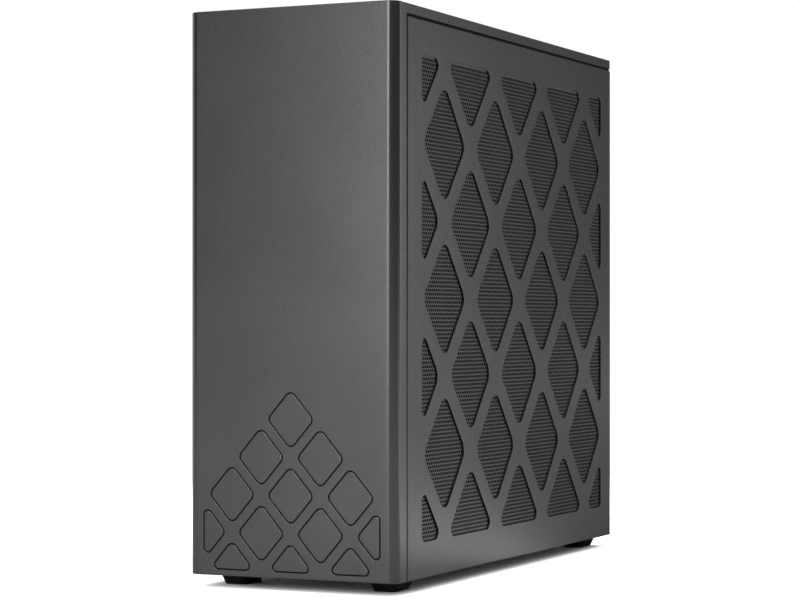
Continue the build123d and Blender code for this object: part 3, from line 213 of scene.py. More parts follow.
def facing(direction: str, origin: tuple[float, float, float]) -> Axes:
    """Working frame whose w axis points along one of +X, -X, +Y, -Y, +Z or -Z, with v upright."""
    turns = {
        "+X": ((0, 1, 0), (0, 0, 1), (1, 0, 0)),
        "-X": ((0, -1, 0), (0, 0, 1), (-1, 0, 0)),
        "+Y": ((-1, 0, 0), (0, 0, 1), (0, 1, 0)),
        "-Y": ((1, 0, 0), (0, 0, 1), (0, -1, 0)),
        "+Z": ((1, 0, 0), (0, 1, 0), (0, 0, 1)),
        "-Z": ((-1, 0, 0), (0, 1, 0), (0, 0, -1)),
    }
    return Axes(origin, *turns[direction])


class Skin:
    """Patches of one surface, welded where their points meet."""

    def __init__(self, axes: Axes = AT_ORIGIN) -> None:
        """Start an empty skin in a working frame."""
        self.axes = axes
        self.points: list[Array] = []
        self.faces: list[Array] = []
        self.count = 0

    def add(self, points: Array, *faces: Array) -> None:
        """Add points with faces, each an array of rows of point numbers."""
        self.points.append(self.axes.place(np.asarray(points, float)))
        self.faces += [np.asarray(rows) + self.count for rows in faces]
        self.count += len(points)

    def grid(self, points: Array, wrap: tuple[bool, bool] = (False, False)) -> None:
        """Add quads over a grid of points, closed on itself along the wrapped directions."""
        rows, columns = points.shape[:2]
        number = np.arange(rows * columns).reshape(rows, columns)
        if wrap[0]:
            number = np.concatenate([number, number[:1]])
        if wrap[1]:
            number = np.concatenate([number, number[:, :1]], axis=1)
        quads = np.stack([number[:-1, :-1], number[1:, :-1], number[1:, 1:], number[:-1, 1:]], axis=-1)
        self.add(points.reshape(-1, 3), quads.reshape(-1, 4))

    def flat(self, loops: list[Array], height: float) -> None:
        """Fill the plane w = height between nested closed outlines.

        A point belongs to the sheet where an odd number of the outlines goes around it.
        """
        points = np.concatenate(loops)
        edges = loop_edges([len(loop) for loop in loops])
        self.fill(points, edges, height)

    def fill(self, points: Array, edges: Array, height: float) -> None:
        """Fill the plane w = height inside closed chains of edges, by constrained triangles.

        A triangle is kept where a level ray from its middle crosses an odd number of edges.
        """
        flat_points = [Vector(row) for row in (points / MM).tolist()]
        output = delaunay_2d_cdt(flat_points, edges.tolist(), [], 0, WELD)
        sources = np.array([origin[0] for origin in output[3]])
        triangles = sources[np.array(output[2])]
        middle = points[triangles].mean(axis=1)
        start = points[edges[:, 0]]
        end = points[edges[:, 1]]
        rise = end[:, 1] - start[:, 1]
        share = (middle[:, 1:] - start[:, 1]) / np.where(rise, rise, 1)
        spans = (start[:, 1] > middle[:, 1:]) != (end[:, 1] > middle[:, 1:])
        ahead = start[:, 0] + share * (end[:, 0] - start[:, 0]) > middle[:, :1]
        kept = triangles[(spans & ahead).sum(axis=1) % 2 == 1]
        level = np.full((len(points), 1), height)
        self.add(np.hstack([points, level]), kept)

    def sweep(self, loop: Array, offsets: Array, heights: Array) -> None:
        """Carry a profile around a closed outline.

        The point for profile entry k lies offsets[k] to the right of the outline at w = heights[k].
        """
        normals = outward(loop)
        across = loop[None] + np.asarray(offsets)[:, None, None] * normals[None]
        level = np.broadcast_to(np.asarray(heights)[:, None, None], across.shape[:2] + (1,))
        self.grid(np.concatenate([across, level], axis=-1), wrap=(False, True))

    def plate(self, loops: list[Array], low: float, high: float, edge: float, steps: int = 2) -> None:
        """Plate between two heights, inside nested outlines and with rounded edges.

        Args:
            loops: Outer outlines counter-clockwise and holes clockwise.
            low: Height of the lower face.
            high: Height of the upper face.
            edge: Radius of the edges.
            steps: Straight steps in each edge's quarter circle.
        """
        inset, drop = quarter(edge, steps)
        offsets = np.concatenate([-inset, -inset[::-1]])
        heights = np.concatenate([high - drop, low + drop[::-1]])
        for loop in loops:
            self.sweep(loop, offsets, heights)
        for height in (low, high):
            self.flat([loop - outward(loop) * edge for loop in loops], height)

    def turned(self, profile: Array, centre: tuple[float, float] = (0, 0), steps: int = 48) -> None:
        """Turn a profile of (radius, w) rows about an axis along w through the centre."""
        angle = np.linspace(0, 2 * np.pi, steps, endpoint=False)
        round_ = np.stack([np.cos(angle), np.sin(angle)], axis=1)
        across = np.array(centre) + profile[:, None, :1] * round_[None]
        level = np.broadcast_to(profile[:, None, 1:], across.shape[:2] + (1,))
        self.grid(np.concatenate([across, level], axis=-1), wrap=(False, True))

    def boxes(self, low: Array, high: Array) -> None:
        """Add plain boxes from arrays of low and high corners."""
        corner = np.array([[i, j, k] for i in (0, 1) for j in (0, 1) for k in (0, 1)])
        points = low[:, None] + corner[None] * (high - low)[:, None]
        quads = np.array([(0, 1, 3, 2), (4, 6, 7, 5), (0, 4, 5, 1), (2, 3, 7, 6), (0, 2, 6, 4), (1, 5, 7, 3)])
        start = np.arange(len(low))[:, None, None] * 8
        self.add(points.reshape(-1, 3), (start + quads).reshape(-1, 4))

    def welded(self) -> tuple[Array, list[Array]]:
        """Join equal points, and turn quads that lost a side into triangles."""
        points = np.concatenate(self.points)
        keys = np.round(points / WELD).astype(np.int64)
        _, first, number = np.unique(keys, axis=0, return_index=True, return_inverse=True)
        number = number.reshape(-1)
        kept = []
        for rows in self.faces:
            rows = number[rows]
            same = rows == np.roll(rows, 1, axis=1)
            whole = ~same.any(axis=1)
            kept.append(rows[whole])
            if rows.shape[1] == 4:
                short = same.sum(axis=1) == 1
                kept.append(rows[short][~same[short]].reshape(-1, 3))
        return points[first], [rows for rows in kept if len(rows)]

    def mesh(self, name: str, turn_out: bool = True) -> bpy.types.Mesh:
        """Make the Blender mesh, with edges sharper than SMOOTH_ANGLE kept sharp.

        Args:
            name: Name of the mesh.
            turn_out: Whether the faces are turned to point outwards.

        Returns:
            The new mesh.
        """
        points, faces = self.welded()
        mesh = bpy.data.meshes.new(name)
        mesh.vertices.add(len(points))
        mesh.vertices.foreach_set("co", points.astype(np.float32).ravel())
        corners = np.concatenate([rows.ravel() for rows in faces])
        totals = np.concatenate([np.full(len(rows), rows.shape[1]) for rows in faces])
        mesh.loops.add(len(corners))
        mesh.loops.foreach_set("vertex_index", corners.astype(np.int32))
        mesh.polygons.add(len(totals))
        mesh.polygons.foreach_set("loop_start", (np.cumsum(totals) - totals).astype(np.int32))
        mesh.update(calc_edges=True)
        if turn_out:
            face_outwards(mesh)
        mesh.polygons.foreach_set("use_smooth", np.ones(len(mesh.polygons), bool))
        mesh.set_sharp_from_angle(angle=SMOOTH_ANGLE)
        return mesh


def islands(count: int, edges: Array) -> Array:
    """Lowest vertex number among the vertices that each vertex is joined to.

    Every edge hands its lower label to both of its ends, and every label is then replaced by
    the label of its own vertex, until nothing changes.
    """
    labels = np.arange(count)
    while True:
        lower = labels[edges].min(axis=1)
        found = labels.copy()
        np.minimum.at(found, edges.ravel(), np.repeat(lower, 2))
        found = found[found]
        if (found == labels).all():
            return labels
        labels = found


def face_outwards(mesh: bpy.types.Mesh) -> None:
    """Turn all faces outwards, so that each joined part encloses a positive volume.

    The volume is the sum over all triangles of a sixth of the triple product of their corners.
    """
    work = bmesh.new()
    work.from_mesh(mesh)
    bmesh.ops.recalc_face_normals(work, faces=work.faces)
    work.to_mesh(mesh)
    mesh.calc_loop_triangles()
    triangles = read(mesh.loop_triangles, "vertices", 3, np.int32)
    owner = read(mesh.loop_triangles, "polygon_index", 1, np.int32).ravel()
    points = read(mesh.vertices, "co", 3, np.float32).astype(float)
    label = islands(len(points), read(mesh.edges, "vertices", 2, np.int32))
    a, b, c = (points[triangles[:, k]] for k in range(3))
    volume = np.zeros(len(points))
    np.add.at(volume, label[triangles[:, 0]], (a * np.cross(b, c)).sum(axis=1) / 6)
    inward = np.unique(owner[volume[label[triangles[:, 0]]] < 0])
    if len(inward):
        work.faces.ensure_lookup_table()
        bmesh.ops.reverse_faces(work, faces=[work.faces[index] for index in inward])
        work.to_mesh(mesh)
    work.free()


def read(items: bpy.types.bpy_prop_collection, name: str, width: int, kind: type) -> Array:
    """Read one attribute of all items of a mesh as rows of an array."""
    values = np.empty(len(items) * width, kind)
    items.foreach_get(name, values)
    return values.reshape(-1, width)


def loop_edges(lengths: list[int]) -> Array:
    """Edges of closed outlines whose points follow each other in one list."""
    edges = []
    start = 0
    for length in lengths:
        number = np.arange(length)
        edges.append(start + np.stack([number, (number + 1) % length], axis=1))
        start += length
    return np.concatenate(edges)


def quarter(radius: float, steps: int) -> tuple[Array, Array]:
    """Quarter round from a face to a wall: how far in from the wall, and how far below the face."""
    angle = np.linspace(0, np.pi / 2, steps + 1)
    return radius * (1 - np.sin(angle)), radius * (1 - np.cos(angle))


# ---------------------------------------------------------------- finishes
class Grain(Enum):
    """How a surface was worked."""

    POWDER = "powder coat"
    MOULDED = "moulded"
    BRUSHED = "brushed"
    BOARD = "solder mask"


class Wiring:
    """A material's node tree, with a short way to add a node and join its inputs."""

    def __init__(self, name: str, tree: bpy.types.NodeTree | None = None) -> None:
        """Start with an empty tree and its output.

        Args:
            name: Name of the new material, where no tree is given.
            tree: The world's tree, where it is wired instead.
        """
        if tree is None:
            self.material = bpy.data.materials.new(name)
            self.material.use_nodes = True
            self.tree = self.material.node_tree
            self.tree.nodes.clear()
            self.output = self.tree.nodes.new("ShaderNodeOutputMaterial")
            self.places = self.node("ShaderNodeTexCoord").outputs["Object"]
        else:
            self.tree = tree
            self.tree.nodes.clear()
            self.output = self.tree.nodes.new("ShaderNodeOutputWorld")

    def node(self, kind: str, settings: dict | None = None, **inputs: object) -> bpy.types.Node:
        """Add a node.

        Args:
            kind: The node's type.
            settings: Attributes to set on it.
            **inputs: Values or sockets for its inputs, by name with _ for a space.

        Returns:
            The new node.
        """
        node = self.tree.nodes.new(kind)
        for key, value in (settings or {}).items():
            setattr(node, key, value)
        for key, value in inputs.items():
            socket = node.inputs[int(key[1:])] if key[1:].isdigit() else node.inputs[key.replace("_", " ")]
            if isinstance(value, bpy.types.NodeSocket):
                self.tree.links.new(value, socket)
            else:
                socket.default_value = value
        return node

    def noise(
        self, size: float, stretch: tuple[float, float, float] = (1, 1, 1), detail: float = 2.0
    ) -> bpy.types.NodeSocket:
        """Noise whose features are about the given size, stretched along the axes.

        Args:
            size: Size of a feature.
            stretch: How much longer it is along X, Y and Z.
            detail: Number of finer octaves.

        Returns:
            The noise's value socket.
        """
        scale = tuple(1 / (size * s) for s in stretch)
        mapped = self.node("ShaderNodeMapping", Vector=self.places, Scale=scale)
        texture = self.node("ShaderNodeTexNoise", Vector=mapped.outputs[0], Scale=1.0, Detail=detail)
        return texture.outputs[0]

    def spread(self, value: bpy.types.NodeSocket, low: float, high: float) -> bpy.types.NodeSocket:
        """Carry noise, most of which lies in NOISE_SPAN, to the range from low to high."""
        start, end = NOISE_SPAN
        return self.node("ShaderNodeMapRange", None, _0=value, _1=start, _2=end, _3=low, _4=high).outputs[0]

    def step(self, value: bpy.types.NodeSocket, low: float, high: float) -> bpy.types.NodeSocket:
        """Rise smoothly from 0 at the low limit to 1 at the high one."""
        smooth = {"interpolation_type": "SMOOTHSTEP"}
        return self.node("ShaderNodeMapRange", smooth, _0=value, _1=low, _2=high).outputs[0]

    def math(self, operation: str, first: object, second: object) -> bpy.types.NodeSocket:
        """Join two values by an operation."""
        return self.node("ShaderNodeMath", {"operation": operation}, _0=first, _1=second).outputs[0]

    def mix(self, share: object, first: object, second: object) -> bpy.types.NodeSocket:
        """Go from the first value to the second by a share from 0 to 1."""
        return self.node("ShaderNodeMix", None, _0=share, _2=first, _3=second).outputs[0]

    def rays(self) -> dict[str, bpy.types.NodeSocket]:
        """Values of one for rays of the camera, and for rays of gloss and of glass."""
        path = self.node("ShaderNodeLightPath").outputs
        gloss = self.math("MAXIMUM", path["Is Glossy Ray"], path["Is Transmission Ray"])
        return {"camera": path["Is Camera Ray"], "gloss": gloss}

    def dot(self, value: object, direction: tuple[float, float, float]) -> bpy.types.NodeSocket:
        """Product of a vector with a fixed direction."""
        joined = self.node("ShaderNodeVectorMath", {"operation": "DOT_PRODUCT"}, _0=value, _1=direction)
        return joined.outputs[1]

    def blend(self, share: bpy.types.NodeSocket, first: object, second: object) -> bpy.types.NodeSocket:
        """Mix two colours by a share from 0 to 1."""
        mixed = self.node("ShaderNodeMix", {"data_type": "RGBA"}, _0=share, _6=first, _7=second)
        return mixed.outputs[2]


@dataclass(frozen=True)
class Finish:
    """A surface finish, as a procedural material."""

    name: str
    colour: tuple[float, float, float]
    roughness: float
    grain: Grain = Grain.POWDER
    metallic: float = 0.0
    specular: float = 0.5
    grain_size: float = 0.5 * MM
    relief: float = 0.01 * MM
    change: float = 0.05
    along: tuple[float, float, float] = (1.0, 1.0, 1.0)
    cloud_size: float = 45 * MM
    roughness_change: float = 0.03
    pits_per_grain: float = 0.6
    track_cell: float = 4 * MM
    track_edge: tuple[float, float] = (0.03, 0.06)
    track_tint: float = 1.9

    def shade(self, factor: float) -> tuple[float, float, float, float]:
        """The colour made lighter or darker."""
        return tuple(min(part * factor, 1.0) for part in self.colour) + (1.0,)

    @cache
    def material(self) -> bpy.types.Material:
        """Make the material, once for all pieces that share the finish.

        Cloudy noise over a few centimetres shifts the colour and the roughness a little, and
        fine noise of the grain's size gives the relief.
        """
        wiring = Wiring(f"{self.name}_finish")
        cloud = wiring.noise(self.cloud_size, detail=3.0)
        fine = wiring.noise(self.grain_size, self.along)
        tints = self.shade(1 - self.change), self.shade(1 + self.change)
        colour = wiring.blend(wiring.spread(cloud, 0.0, 1.0), *tints)
        change = self.roughness_change
        rough = wiring.spread(fine, self.roughness - change, self.roughness + change)
        height = fine
        if self.grain is Grain.MOULDED:
            scale = self.pits_per_grain / self.grain_size
            pits = wiring.node("ShaderNodeTexVoronoi", Vector=wiring.places, Scale=scale)
            height = pits.outputs[0]
        if self.grain is Grain.BOARD:
            colour, height = self.tracks(wiring, colour)
        bump = wiring.node("ShaderNodeBump", Strength=1.0, Distance=self.relief, Height=height)
        shader = wiring.node(
            "ShaderNodeBsdfPrincipled",
            Base_Color=colour,
            Metallic=self.metallic,
            Roughness=rough,
            Specular_IOR_Level=self.specular,
            Normal=bump.outputs[0],
        )
        wiring.tree.links.new(shader.outputs[0], wiring.output.inputs[0])
        return wiring.material

    def tracks(
        self, wiring: Wiring, colour: bpy.types.NodeSocket
    ) -> tuple[bpy.types.NodeSocket, bpy.types.NodeSocket]:
        """Copper tracks under a solder mask: thin raised lines of a lighter tint.

        Args:
            wiring: The material's tree.
            colour: The mask's own colour.

        Returns:
            The colour with tracks, and their height.
        """
        edges = {"feature": "DISTANCE_TO_EDGE"}
        cells = wiring.node("ShaderNodeTexVoronoi", edges, Vector=wiring.places, Scale=1 / self.track_cell)
        start, end = self.track_edge
        lines = wiring.node("ShaderNodeMapRange", None, _0=cells.outputs[0], _1=start, _2=end, _3=1.0, _4=0.0)
        return wiring.blend(lines.outputs[0], colour, self.shade(self.track_tint)), lines.outputs[0]


CASE_PAINT = Finish(
    "case_paint", (0.115, 0.1115, 0.117), 0.26, metallic=1.0, grain_size=0.35 * MM, relief=0.002 * MM
)
MESH_PAINT = Finish(
    "mesh_paint", (0.112, 0.11, 0.114), 0.34, metallic=1.0, grain_size=0.3 * MM, relief=0.002 * MM
)
CHASSIS_PAINT = Finish("chassis_paint", (0.016, 0.016, 0.017), 0.5, grain_size=0.4 * MM)
RUBBER = Finish("foot_rubber", (0.012, 0.012, 0.012), 0.72, Grain.MOULDED, specular=0.3, relief=0.03 * MM)
STEEL = Finish("screw_steel", (0.42, 0.42, 0.43), 0.3, Grain.BRUSHED, metallic=1.0, along=(1, 6, 1))
NYLON = Finish("light_plastic", (0.55, 0.54, 0.5), 0.45, Grain.MOULDED)
BLACK_PLASTIC = Finish("black_plastic", (0.014, 0.014, 0.015), 0.5, Grain.MOULDED)
ROTOR_PLASTIC = Finish("rotor_plastic", (0.02, 0.02, 0.022), 0.32, Grain.MOULDED, relief=0.004 * MM)
BOARD = Finish("circuit_board", (0.01, 0.02, 0.016), 0.35, Grain.BOARD, relief=0.02 * MM)
PIN_METAL = Finish("pin_metal", (0.75, 0.62, 0.36), 0.28, Grain.BRUSHED, metallic=1.0)
LID_METAL = Finish("lid_metal", (0.5, 0.5, 0.5), 0.35, Grain.BRUSHED, metallic=1.0, along=(1, 8, 1))
ALUMINIUM = Finish("fin_aluminium", (0.62, 0.63, 0.64), 0.3, Grain.BRUSHED, metallic=1.0, along=(8, 8, 1))
COPPER = Finish("copper", (0.78, 0.36, 0.22), 0.25, Grain.BRUSHED, metallic=1.0, along=(1, 1, 8))
SHROUD_PLASTIC = Finish("shroud_plastic", (0.02, 0.02, 0.022), 0.4, Grain.MOULDED)
SOCKET_METAL = Finish("socket_metal", (0.52, 0.52, 0.54), 0.28, Grain.BRUSHED, metallic=1.0)
BUTTON_METAL = Finish("button_metal", (0.2, 0.2, 0.204), 0.3, Grain.BRUSHED, metallic=1.0, along=(8, 1, 1))
# Near-black fill of the engraved lines: partly the lines' own dark tone, partly painted shade of the grooves.
DARK_LINE_AND_SHADE = Finish(
    "dark_line_and_shade", (0.004, 0.004, 0.004), 0.7, specular=0.06, grain_size=0.2 * MM, relief=0.003 * MM
)
# Painted shade: near-black colour of the sheet behind the side panels' holes, standing for the shaded inside of
# the case.
HOLE_SHADE_SHEET = Finish("painted_hole_shade", (0.012, 0.012, 0.012), 0.9, Grain.MOULDED, specular=0.2, relief=0.04 * MM)
# Painted shade: near-black colour of the strips laid in the panel gaps, standing for the gaps' shade.
GAP_SHADE_BLACK = Finish("painted_gap_shade", (0.008, 0.008, 0.008), 0.9, Grain.MOULDED, specular=0.2, relief=0.05 * MM)
FINISHES = {
    finish.name: finish
    for finish in (
        CASE_PAINT,
        MESH_PAINT,
        CHASSIS_PAINT,
        RUBBER,
        STEEL,
        NYLON,
        BLACK_PLASTIC,
        ROTOR_PLASTIC,
        BOARD,
        PIN_METAL,
        LID_METAL,
        ALUMINIUM,
        COPPER,
        SHROUD_PLASTIC,
        SOCKET_METAL,
        BUTTON_METAL,
    )
}
NODE_SLOTS = {entry["node"]: entry["material_slot"] for entry in frame["record"]["subparts"]}
NODE_BODIES = {
    node: body for body, nodes in frame["record"]["behaviour"]["bodies"].items() for node in nodes
}


def piece(name: str, mesh: bpy.types.Mesh, node: str, finish: Finish | None = None) -> bpy.types.Object:
    """Put a mesh in the scene in place of, or beside, a node of the frame.

    Args:
        name: Name of the new object.
        mesh: Its mesh, already in place.
        node: Node whose body it rides on and whose finish it takes.
        finish: Another finish, where it has one.

    Returns:
        The new object.
    """
    made = bpy.data.objects.new(name, mesh)
    bpy.context.scene.collection.objects.link(made)
    slot = NODE_SLOTS[node]
    finish = finish or FINISHES[slot]
    mesh.materials.clear()
    mesh.materials.append(finish.material())
    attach(made, NODE_BODIES[node])
    finish.name if finish.name in FINISHES else slot
    log.info("%s: %d faces on %s", name, len(mesh.polygons), NODE_BODIES[node])
    return made


def even_normals(made: bpy.types.Object) -> None:
    """Let the large flats set the normals at their rounded edges."""
    weigh = made.modifiers.new("even_normals", "WEIGHTED_NORMAL")
    weigh.keep_sharp = True
    weigh.weight = NORMAL_WEIGHT


def node_box(node: str) -> Array:
    """A node's low and high corner as two rows."""
    return np.array([tuple(corner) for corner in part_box(node)])


# ---------------------------------------------------------------- folded covers
@dataclass
class FoldedCover:
    """A sheet metal cover: a face, two sides folded back from it and walls at its ends.

    In the working frame the face lies at w = 0 and looks along w. The folds run along v, and
    the sides reach back by depth.
    """

    axes: Axes
    low: tuple[float, float]
    high: tuple[float, float]
    depth: float
    wall: float
    fold_radii: tuple[float, float]
    rim_radii: tuple[float, float]
    end_walls: tuple[bool, bool] = (True, True)
    windows: list[Array] = field(default_factory=list)
    grooves: list[Array] = field(default_factory=list)
    groove_width: float = 0.74 * MM
    groove_depth: float = 0.5 * MM
    edge_round: float = 0.15 * MM
    fold_steps: int = 10
    rim_steps: int = 4

    def fold(self, side: int, inset: float) -> tuple[Array, Array]:
        """Section of one fold, from the open edge to the face.

        The points run up the side wall and along a quarter circle of the fold's radius, less
        the inset.

        Args:
            side: 0 for the side at low u, 1 for the side at high u.
            inset: Distance in from the outer surface.

        Returns:
            The (u, w) points and their outward normals.
        """
        sign = 1 - 2 * side
        edge = (self.low[0], self.high[0])[side]
        radius = max(self.fold_radii[side] - inset, self.edge_round)
        angle = np.linspace(0, np.pi / 2, self.fold_steps + 1)
        normals = np.stack([-sign * np.cos(angle), np.sin(angle)], axis=1)
        centre = np.array([edge + sign * (inset + radius), -(inset + radius)])
        arc = centre + radius * normals
        foot = np.array([[edge + sign * inset, -self.depth]])
        return np.concatenate([foot, arc]), np.concatenate([normals[:1], normals])

    def rims(self) -> tuple[Array, Array]:
        """Offsets inwards and places along v of the outer surface, round at both ends."""
        offset0, rise0 = quarter(self.rim_radii[0], self.rim_steps)
        offset1, rise1 = quarter(self.rim_radii[1], self.rim_steps)
        offsets = np.concatenate([offset0, offset1[::-1]])
        places = np.concatenate([self.low[1] + rise0, self.high[1] - rise1[::-1]])
        return offsets, places

    def band(self, skin: Skin, section: Array, normals: Array, offsets: Array, places: Array) -> None:
        """Grid over a section, moved in by the offset that goes with each place along v."""
        across = section[:, None] - normals[:, None] * offsets[None, :, None]
        along = np.broadcast_to(places[None, :, None], across.shape[:2] + (1,))
        skin.grid(np.concatenate([across[..., :1], along, across[..., 1:]], axis=-1))

    def end(self, skin: Skin, outline: Array, place: float) -> None:
        """Flat wall across the cover at one place along v, inside a (u, w) outline."""
        turned = Skin(Axes((0, 0, 0), (1, 0, 0), (0, 0, 1), (0, 1, 0)))
        turned.flat([outline], place)
        skin.add(turned.points[0], turned.faces[0])

    def mesh(self, name: str) -> bpy.types.Mesh:
        """Build the whole cover as one closed skin.

        Args:
            name: Name of the mesh.

        Returns:
            The mesh.
        """
        skin = Skin(self.axes)
        offsets, places = self.rims()
        middle = len(places) // 2
        outer = [self.fold(side, 0.0) for side in (0, 1)]
        inner = [self.fold(side, self.wall) for side in (0, 1)]
        starts = (self.low[1] + self.wall * self.end_walls[0], self.high[1] - self.wall * self.end_walls[1])
        inner_places = np.array(starts)
        for section, normals in outer:
            self.band(skin, section, normals, offsets, places)
        for section, normals in inner:
            self.band(skin, section, normals, np.zeros(2), inner_places)
        face = np.stack([outer[0][0][-1], outer[1][0][-1]])
        up = np.array([[0.0, 1.0], [0.0, 1.0]])
        for part in (slice(0, middle), slice(middle, None)):
            self.band(skin, face, up, offsets[part], places[part])
        self.face(skin, face[:, 0], (places[middle - 1], places[middle]), 0.0)
        self.face(skin, np.array([inner[0][0][-1, 0], inner[1][0][-1, 0]]), starts, -self.wall)
        self.ends(skin, outer, inner, offsets, places, starts)
        self.open_side(skin, offsets, places, starts)
        self.cut_walls(skin)
        return skin.mesh(name)

    def face(self, skin: Skin, across: Array, along: tuple[float, float], height: float) -> None:
        """The flat of the face, outside or inside, with its windows and grooves left out."""
        loops = [rectangle((across[0], along[0]), (across[1], along[1]))]
        outside = height == 0.0
        for window in self.windows:
            hole = window[::-1]
            loops.append(hole - outward(hole) * self.edge_round * outside)
        if outside:
            for groove in self.grooves:
                hole = groove[::-1]
                loops.append(hole - outward(hole) * self.edge_round)
                loops.append(hole + outward(hole) * (self.groove_width + self.edge_round))
        skin.flat(loops, height)

    def ends(
        self, skin: Skin, outer: list, inner: list, offsets: Array, places: Array, starts: tuple
    ) -> None:
        """Close both ends of the cover.

        An end with a wall gets an outer and an inner plate. An open end gets the cut edge of
        the sheet, between its outer and inner section.

        Args:
            skin: Skin that takes the ends.
            outer: Outer section and normals of the fold on each side.
            inner: Inner section and normals of the fold on each side.
            offsets: Offsets inwards of the outer surface.
            places: Places along v that go with the offsets.
            starts: Places along v where the inner surface starts and ends.
        """
        for end in (0, -1):
            left, right = (section - normals * offsets[end] for section, normals in outer)
            outside = np.concatenate([left, right[::-1]])
            inside = np.concatenate([inner[0][0], inner[1][0][::-1]])
            if self.end_walls[end]:
                self.end(skin, outside, places[end])
                self.end(skin, inside, starts[end])
            else:
                self.end(skin, np.concatenate([outside, inside[::-1]]), places[end])

    def open_side(self, skin: Skin, offsets: Array, places: Array, starts: tuple) -> None:
        """The edge of the sheet around the open side, at w = -depth."""
        left = np.stack([self.low[0] + offsets, places], axis=1)
        right = np.stack([self.high[0] - offsets, places], axis=1)
        inner = rectangle((self.low[0] + self.wall, starts[0]), (self.high[0] - self.wall, starts[1]))
        if all(self.end_walls):
            loops = [np.concatenate([left[::-1], right]), inner]
        else:
            loops = [np.concatenate([left[::-1], inner[[0, 3, 2, 1]], right])]
        skin.flat(loops, -self.depth)

    def cut_walls(self, skin: Skin) -> None:
        """Walls of the windows and grooves, with their outer edges rounded."""
        inset, drop = quarter(self.edge_round, 2)
        for window in self.windows:
            offsets = np.append(-inset, 0.0)
            heights = np.append(-drop, -self.wall)
            skin.sweep(window[::-1], offsets, heights)
        for groove in self.grooves:
            offsets = np.concatenate([-inset, [0.0, self.groove_width], self.groove_width + inset[::-1]])
            heights = np.concatenate([-drop, [-self.groove_depth] * 2, -drop[::-1]])
            skin.sweep(groove[::-1], offsets, heights)


